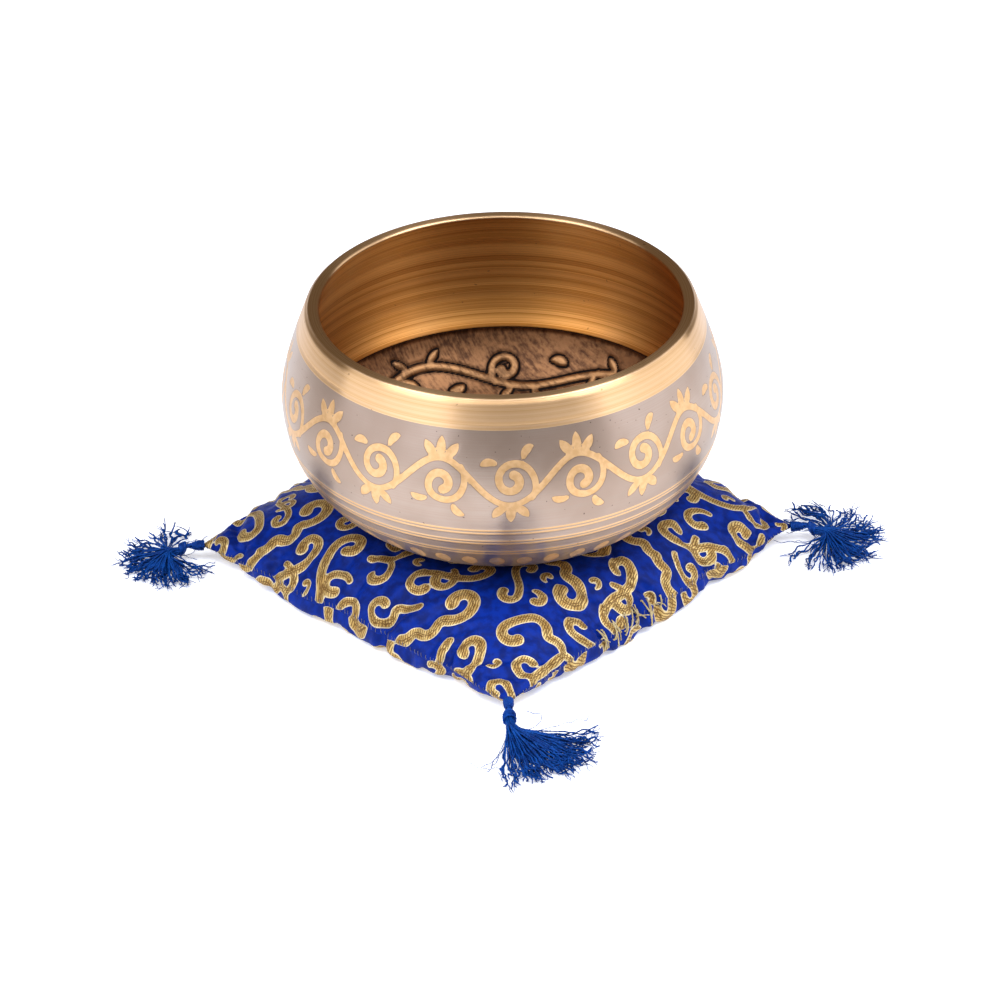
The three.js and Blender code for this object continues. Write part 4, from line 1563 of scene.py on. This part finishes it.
def area_light(name, azimuth, elevation, distance, width, height, power):
    """A soft box aimed at the bowl, its azimuth taken from the camera's; metres, degrees and watts."""
    data = bpy.data.lights.new(name, "AREA")
    data.shape = "RECTANGLE"
    data.size, data.size_y = width, height
    data.energy = power
    data.color = SOFTBOX_TINT
    light = bpy.data.objects.new(name, data)
    bpy.context.scene.collection.objects.link(light)
    around = math.radians(CAMERA_AZIMUTH + azimuth)
    up = math.radians(elevation)
    direction = Vector((math.sin(around) * math.cos(up), -math.cos(around) * math.cos(up), math.sin(up)))
    aim = Vector((BOWL_X, BOWL_Y, RIM_Z * 0.6)) * MM
    light.location = aim + direction * distance
    light.rotation_euler = (-direction).to_track_quat("-Z", "Y").to_euler()


def add_stage():
    """White floor and backdrop, warm room light and five softboxes."""
    material = Shader("studio_floor")
    grain = material.noise(30.0, 2.0)
    material.set(Base_Color=material.mix(grain, (0.9, 0.9, 0.9, 1), (0.94, 0.94, 0.94, 1)), Roughness=0.9)
    material.set(Emission_Color=(1, 1, 1, 1), Emission_Strength=0.42)
    floor = make_object("studio_floor", square(FLOOR_HALF), [(0, 1, 2, 3)], [material.material])
    world = bpy.data.worlds.new("studio")
    bpy.context.scene.world = world
    world.use_nodes = True
    tree = world.node_tree
    around = tree.nodes["Background"]
    around.inputs["Color"].default_value = ROOM_TINT
    around.inputs["Strength"].default_value = 0.17
    backdrop = tree.nodes.new("ShaderNodeBackground")
    either = tree.nodes.new("ShaderNodeMixShader")
    seen = tree.nodes.new("ShaderNodeLightPath")
    tree.links.new(seen.outputs["Is Camera Ray"], either.inputs[0])
    tree.links.new(around.outputs[0], either.inputs[1])
    tree.links.new(backdrop.outputs[0], either.inputs[2])
    tree.links.new(either.outputs[0], tree.nodes["World Output"].inputs[0])
    for name, values in SOFTBOXES.items():
        area_light(name, *values)
    settings = bpy.context.scene.view_settings
    settings.view_transform = "Standard"
    settings.look = "None"


# ---- Make it -----------------------------------------------------------------

add_camera()
add_stage()
build_bowl([bronze_material(), silvered_material(), relief_material()])
TOP_PANEL, BOTTOM_PANEL = build_cover(brocade_material())
# Each yarn's third colour is painted on its fibres' peaks: a painted highlight for the grey and blue yarns, a
# darker fleck for the gold thread.
gold_thread = yarn_material("gold_thread", rgb(214, 198, 152), rgb(160, 134, 84), rgb(112, 88, 52))
seam_thread = yarn_material("seam_thread", rgb(126, 122, 128), rgb(60, 62, 100), rgb(150, 140, 120))
build_seam(TOP_PANEL, BOTTOM_PANEL, seam_thread)
build_closing(TOP_PANEL, BOTTOM_PANEL, gold_thread)
blue_yarn = yarn_material("blue_yarn", rgb(14, 78, 160), rgb(2, 34, 96), rgb(60, 126, 196))
blue_satin = yarn_material("blue_satin_yarn", rgb(12, 72, 158), rgb(2, 36, 104), rgb(60, 126, 196))
for corner in CORNERS:
    build_tassel(corner, blue_yarn, blue_satin)
